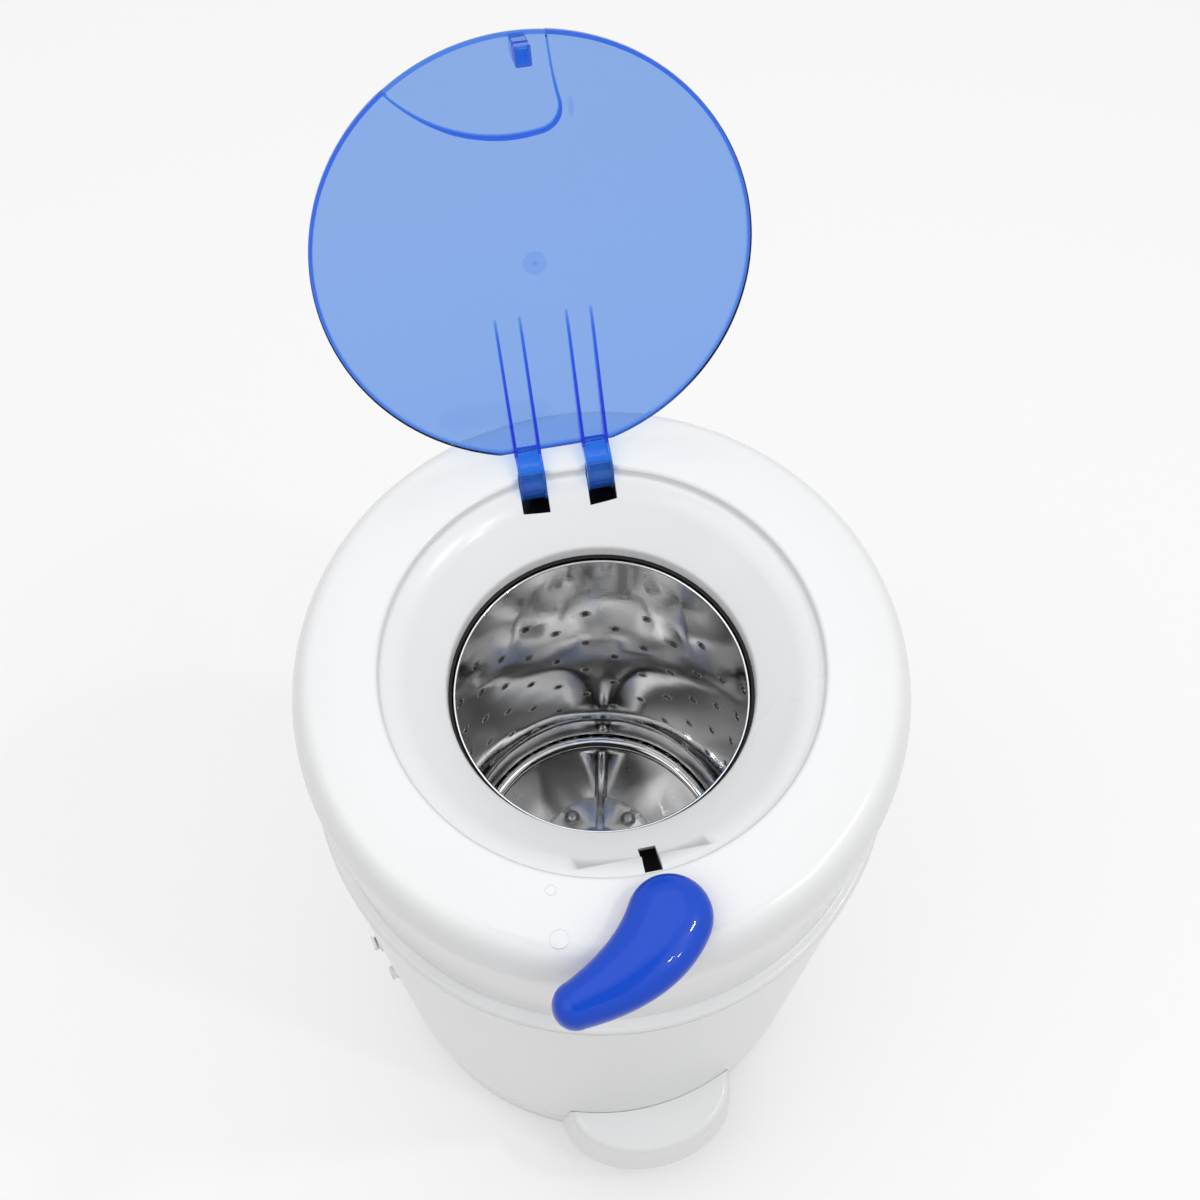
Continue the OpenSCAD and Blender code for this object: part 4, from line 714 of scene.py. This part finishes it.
drumLook = {
    "radius": 117.5, "sheet": 1.0, "floor": 235.0, "corner": 18.0, "cornerHeight": 30.0, "top": 588.0,
    "rimAt": (92.1, 591.1), "rimRadius": 1.0, "discRadius": 99.0,
    "rimStart": (98.0, 586.6), "rimEnd": (98.4, 587.6), "shoulder": 18.0, "shoulderHeight": 30.0, "shoulderDrop": 33.0,
    "discIn": 12.0, "rows": 9, "columns": 16, "rowPitch": 25.0, "firstRow": 265.0, "holeRadius": 2.8, "phase": 16.9,
    "wave": 1.1, "seed": 3.0}
holeLook = {  # lengths in metres, for the node tree
    "waveScale": 17.0, "punchSides": 24, "punchDepth": 0.014, "around": 25, "across": 6, "collarFrom": 0.97,
    "collarRun": 0.75, "lift": -0.0005, "sink": 0.0012, "sinkPower": 6.0, "proud": 0.0001}
lipAndGapLook = {"inner": 93.5, "outer": 97.6, "low": 592.2, "high": 593.8, "soft": 0.5}


def buildDrumWall(look):
    # closed section: inside up to the shoulder, rolled rim, then back down the outside
    r, z0, t, top = look["radius"], look["floor"], look["sheet"], look["top"] - look["shoulderDrop"]
    disc, bend, rise = look["discRadius"] - look["discIn"], look["corner"], look["cornerHeight"]
    turn, tall = look["shoulder"], look["shoulderHeight"]
    outline = [(disc, z0)] + arcPoints(r - bend, z0 + rise, bend, rise, 270, 360, 12)
    outline += [(r, z) for z in np.linspace(z0 + rise, top, 62)[1:-1]]
    outline += arcPoints(r - turn, top, turn, tall, 0, 70, 12) + [look["rimStart"]]
    outline += arcPoints(*look["rimAt"], look["rimRadius"], look["rimRadius"], 260, 10, 14) + [look["rimEnd"]]
    outline += arcPoints(r - turn, top + t, turn + t, tall + 2 * t, 78, 0, 10)
    outline += arcPoints(r - bend, z0 + rise, bend + t, rise + t, 360, 270, 8) + [(disc, z0 - t)]
    return turned("drumWall", outline, 288, 60)


# near-black ring at the mouth: partly the rubber seal lip, partly painted shade that stands for the dark gap between
# the funnel edge and the drum rim
def buildSealLipAndPaintedGap(look):
    inner, outer, low, high, soft = (look[k] for k in ("inner", "outer", "low", "high", "soft"))
    return turned("mouthSealLipAndPaintedGap", [(inner, low + soft), (inner + soft, low), (outer, low), (outer, high),
                                   (inner + soft, high), (inner, high - soft)], 160)


def perforationTree(material, look):
    tree = bpy.data.node_groups.new("drumPerforation", "GeometryNodeTree")
    face = tree.interface
    face.new_socket(name="Geometry", in_out="INPUT", socket_type="NodeSocketGeometry")
    for label, kind, value in [
            ("Rows", "NodeSocketInt", 10), ("Columns", "NodeSocketInt", 16), ("Row Pitch", "NodeSocketFloat", 0.025),
            ("First Row", "NodeSocketFloat", 0.26), ("Wall Radius", "NodeSocketFloat", 0.1175),
            ("Hole Radius", "NodeSocketFloat", 0.003), ("Phase", "NodeSocketFloat", 0.0),
            ("Wave", "NodeSocketFloat", 0.0004), ("Seed", "NodeSocketFloat", 3.0)]:
        face.new_socket(name=label, in_out="INPUT", socket_type=kind).default_value = value
    face.new_socket(name="Geometry", in_out="OUTPUT", socket_type="NodeSocketGeometry")
    n = tree.nodes
    start, end = n.new("NodeGroupInput").outputs, n.new("NodeGroupOutput")

    def value(operation, *values):
        return mathNode(tree, operation, *values)

    def polar(angle, radius, height):
        return addNode(tree, "ShaderNodeCombineXYZ", {
            0: value("MULTIPLY", value("COSINE", angle), radius), 1: value("MULTIPLY", value("SINE", angle), radius),
            2: height}).outputs[0]

    def radialWave():
        # slow dents that follow the place on the wall
        pos = n.new("GeometryNodeInputPosition").outputs[0]
        noise = n.new("ShaderNodeTexNoise")
        noise.noise_dimensions = "4D"
        feed(tree, noise, {"Scale": look["waveScale"], "Detail": 1.0, "Vector": pos, "W": start["Seed"]})
        amount = value("MULTIPLY", value("SUBTRACT", noise.outputs["Fac"], 0.5), start["Wave"])
        outward = vectorNode(tree, "NORMALIZE", {0: vectorNode(tree, "MULTIPLY", {0: pos, 1: (1, 1, 0)})})
        return vectorNode(tree, "SCALE", {0: outward, "Scale": amount})

    # hole centres, staggered row by row
    index = n.new("GeometryNodeInputIndex").outputs[0]
    row = value("FLOOR", value("DIVIDE", index, start["Columns"]))
    column = value("MODULO", index, start["Columns"])
    shift = value("MULTIPLY", value("MODULO", row, 2.0), 0.5)
    step = value("DIVIDE", 2 * math.pi, start["Columns"])
    angle = value("ADD", value("MULTIPLY", value("ADD", column, shift), step), start["Phase"])
    level = value("MULTIPLY_ADD", row, start["Row Pitch"], start["First Row"])
    points = addNode(tree, "GeometryNodePoints", {
        "Count": value("MULTIPLY", start["Rows"], start["Columns"]),
        "Position": polar(angle, start["Wall Radius"], level)})
    turn = addNode(tree, "ShaderNodeCombineXYZ", {1: math.pi / 2, 2: angle})
    keepTurn = n.new("GeometryNodeStoreNamedAttribute")
    keepTurn.data_type = "FLOAT_VECTOR"
    keepTurn.domain = "POINT"
    feed(tree, keepTurn, {"Name": "holeTurn", "Geometry": points.outputs[0], "Value": turn.outputs[0]})
    centres = addNode(tree, "GeometryNodeSetPosition", {"Geometry": keepTurn.outputs[0], "Offset": radialWave()})
    readTurn = n.new("GeometryNodeInputNamedAttribute")
    readTurn.data_type = "FLOAT_VECTOR"
    feed(tree, readTurn, {"Name": "holeTurn"})

    def onHoles(shape):
        copies = addNode(tree, "GeometryNodeInstanceOnPoints", {
            "Points": centres.outputs[0], "Instance": shape, "Rotation": readTurn.outputs[0]})
        return addNode(tree, "GeometryNodeRealizeInstances", {0: copies.outputs[0]}).outputs[0]

    # wall with waves, cut by a punch at each centre
    waved = addNode(tree, "GeometryNodeSetPosition", {"Geometry": start["Geometry"], "Offset": radialWave()})
    punch = addNode(tree, "GeometryNodeMeshCylinder", {
        "Vertices": look["punchSides"], "Depth": look["punchDepth"], "Radius": start["Hole Radius"]})
    cut = n.new("GeometryNodeMeshBoolean")
    cut.operation = "DIFFERENCE"
    cut.solver = "MANIFOLD"
    feed(tree, cut, {"Mesh 1": waved.outputs[0], "Mesh 2": onHoles(punch.outputs["Mesh"])})

    # dished collar round each hole: a grid wrapped into a ring
    grid = addNode(tree, "GeometryNodeMeshGrid", {
        "Size X": 1.0, "Size Y": 1.0, "Vertices X": look["around"], "Vertices Y": look["across"]})
    spot = addNode(tree, "ShaderNodeSeparateXYZ", {0: n.new("GeometryNodeInputPosition").outputs[0]}).outputs
    around = value("MULTIPLY", value("ADD", spot[0], 0.5), 2 * math.pi)
    across = value("ADD", spot[1], 0.5)
    reach = value("MULTIPLY_ADD", across, look["collarRun"], look["collarFrom"])
    lift = value("MULTIPLY", value("SINE", value("MULTIPLY", across, math.pi)), look["lift"])
    sink = value("MULTIPLY", value("POWER", value("SUBTRACT", 1.0, across), look["sinkPower"]), look["sink"])
    height = value("ADD", value("ADD", lift, sink), look["proud"])
    wrapped = addNode(tree, "GeometryNodeSetPosition", {
        "Geometry": grid.outputs["Mesh"],
        "Position": polar(around, value("MULTIPLY", start["Hole Radius"], reach), height)})
    sewn = addNode(tree, "GeometryNodeMergeByDistance", {"Distance": 1e-6, "Geometry": wrapped.outputs[0]})
    collars = addNode(tree, "GeometryNodeSetShadeSmooth", {"Geometry": onHoles(sewn.outputs[0])})
    joined = addNode(tree, "GeometryNodeJoinGeometry", {0: collars.outputs[0]})
    feed(tree, joined, {0: cut.outputs["Mesh"]})
    real = addNode(tree, "GeometryNodeRealizeInstances", {0: joined.outputs[0]})
    paint = addNode(tree, "GeometryNodeSetMaterial", {"Material": material, "Geometry": real.outputs[0]})
    feed(tree, end, {0: paint.outputs[0]})
    return tree


def applyTree(obj, tree, values):
    modifier = obj.modifiers.new("tree", "NODES")
    modifier.node_group = tree
    keys = {i.name: i.identifier for i in tree.interface.items_tree if i.item_type == "SOCKET" and i.in_out == "INPUT"}
    for label, value in values.items():
        modifier[keys[label]] = value
    obj.update_tag()
    bpy.context.view_layer.update()
    mesh = bpy.data.meshes.new_from_object(obj.evaluated_get(bpy.context.evaluated_depsgraph_get()))
    obj.modifiers.remove(modifier)
    obj.data = mesh


drumWall = buildDrumWall(drumLook)
applyTree(drumWall, perforationTree(polishedDrum, holeLook), {
    "Rows": drumLook["rows"], "Columns": drumLook["columns"], "Row Pitch": drumLook["rowPitch"] * mm,
    "First Row": drumLook["firstRow"] * mm, "Wall Radius": drumLook["radius"] * mm,
    "Hole Radius": drumLook["holeRadius"] * mm, "Phase": math.radians(drumLook["phase"]),
    "Wave": drumLook["wave"] * mm, "Seed": drumLook["seed"]})
place(drumWall, "drum_shell")
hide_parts("drum_shell")
# the seal lip is given satin black, darker than the rubber finish, as painted shade of the gap at the mouth
place(buildSealLipAndPaintedGap(lipAndGapLook), "mouth_seal", satinBlack)
print("drum wall built:", len(drumWall.data.polygons), "faces")


stageLook = {"size": 30.0, "colour": (0.66, 0.66, 0.665), "rough": 0.9, "lift": 0.32}


def seenDirectly(tree, inGloss):
    # 1 where the camera sees it, straight or through glass, and in reflections too if asked
    path = tree.nodes.new("ShaderNodeLightPath").outputs
    seen = mathNode(tree, "MAXIMUM", path["Is Camera Ray"], path["Is Transmission Ray"])
    return mathNode(tree, "MAXIMUM", seen, path["Is Glossy Ray"]) if inGloss else seen


def buildFloor(look):
    s = look["size"]
    obj = meshObject("floorSheet", [(-s, -s, 0), (s, -s, 0), (s, s, 0), (-s, s, 0)], [(0, 1, 2, 3)])
    material = bpy.data.materials.new("paleFloor")
    material.use_nodes = True
    tree = material.node_tree
    feed(tree, tree.nodes["Principled BSDF"], {
        "Base Color": (*look["colour"], 1), "Roughness": look["rough"], "Specular IOR Level": 0.0,
        "Emission Color": (1, 1, 1, 1),
        "Emission Strength": mathNode(tree, "MULTIPLY", seenDirectly(tree, True), look["lift"])})
    setMaterial(obj, material)


buildFloor(stageLook)

worldLook = {"light": 0.2, "above": 0.88, "seen": 1.0, "gloss": 1.0, "dark": 0.02, "darkAt": (0.0, -0.3),
             "darkHalf": (0.34, 0.3), "blend": 0.05}


def buildWorld(look):
    # even studio light; reflections see a white surround with the dark of the camera stand in it
    world = bpy.data.worlds.new("studio")
    bpy.context.scene.world = world
    world.use_nodes = True
    tree = world.node_tree
    coord = tree.nodes.new("ShaderNodeTexCoord")
    ray = addNode(tree, "ShaderNodeSeparateXYZ", {0: coord.outputs["Generated"]}).outputs
    height = addNode(tree, "ShaderNodeMapRange", {
        "From Min": 0.0, "To Min": look["light"], "To Max": look["light"] + look["above"], "Value": ray[2]})
    stand = mathNode(tree, "GREATER_THAN", ray[2], 0.0)
    for axis, middle, half in zip((0, 1), look["darkAt"], look["darkHalf"]):
        off = mathNode(tree, "SUBTRACT", mathNode(tree, "DIVIDE", ray[axis], ray[2]), middle)
        inside = tree.nodes.new("ShaderNodeMapRange")
        inside.interpolation_type = "SMOOTHSTEP"
        feed(tree, inside, {
            "From Min": half + look["blend"], "From Max": half, "Value": mathNode(tree, "ABSOLUTE", off)})
        stand = mathNode(tree, "MULTIPLY", stand, inside.outputs[0])
    ceiling = addNode(tree, "ShaderNodeMix", {0: stand, 2: look["gloss"], 3: look["dark"]})
    path = tree.nodes.new("ShaderNodeLightPath")
    base = addNode(tree, "ShaderNodeMix", {
        0: path.outputs["Is Glossy Ray"], 2: height.outputs[0], 3: ceiling.outputs[0]})
    full = addNode(tree, "ShaderNodeMix", {0: seenDirectly(tree, False), 2: base.outputs[0], 3: look["seen"]})
    feed(tree, tree.nodes["Background"], {"Color": (1, 1, 1, 1), "Strength": full.outputs[0]})


buildWorld(worldLook)

lamps = [
    {"name": "panelLeft", "place": (-1.6, -0.1, 2.6), "aim": (0, 0, 0.5), "size": (1.6, 2.0), "power": 7.0},
    {"name": "panelBack", "place": (0.1, 0.85, 3.0), "aim": (0, 0, 0.6), "size": (1.4, 1.4), "power": 4.0},
    {"name": "spotRight", "place": (1.26, -0.33, 2.42), "aim": (0, 0, 0.6), "size": (0.12, 0.12), "power": 4.5},
    {"name": "spotFront", "place": (1.26, -0.98, 2.14), "aim": (0, 0, 0.6), "size": (0.1, 0.1), "power": 2.0},
    {"name": "spotFrontTwin", "place": (1.03, -0.86, 2.38), "aim": (0, 0, 0.6), "size": (0.1, 0.1), "power": 2.0}]


def addLamp(look):
    light = bpy.data.lights.new(look["name"], "AREA")
    light.shape = "RECTANGLE"
    light.size, light.size_y = look["size"]
    light.energy = look["power"]
    obj = bpy.data.objects.new(look["name"], light)
    bpy.context.scene.collection.objects.link(obj)
    obj.location = look["place"]
    obj.rotation_mode = "QUATERNION"
    back = (Vector(look["place"]) - Vector(look["aim"])).normalized()
    obj.rotation_quaternion = back.to_track_quat("Z", "Y")


for lamp in lamps:
    addLamp(lamp)

cameraLook = {"away": 0.34744, "height": 1.38476, "down": 62.635, "turn": -0.263, "roll": 0.591, "around": 12.0,
              "lens": 41.483}


def buildCamera(look):
    down, turn, roll, around = (math.radians(look[k]) for k in ("down", "turn", "roll", "around"))
    ahead = Vector((math.sin(turn) * math.cos(down), math.cos(turn) * math.cos(down), -math.sin(down)))
    right = Vector((math.cos(turn), -math.sin(turn), 0))
    up = right.cross(ahead)
    right, up = math.cos(roll) * right + math.sin(roll) * up, -math.sin(roll) * right + math.cos(roll) * up
    spin = Matrix.Rotation(-around, 3, "Z")
    right, up, ahead = spin @ right, spin @ up, spin @ ahead
    data = bpy.data.cameras.new("photoView")
    data.sensor_width = 36.0
    data.lens = look["lens"]
    data.clip_start, data.clip_end = 0.02, 100.0
    obj = bpy.data.objects.new("photoView", data)
    bpy.context.scene.collection.objects.link(obj)
    obj.matrix_world = Matrix.Translation(spin @ Vector((0, -look["away"], look["height"]))) @ Matrix(
        (right, up, -ahead)).transposed().to_4x4()
    bpy.context.scene.camera = obj


buildCamera(cameraLook)
bpy.context.scene.view_settings.view_transform = "Standard"
print("stage, lamps and camera set")
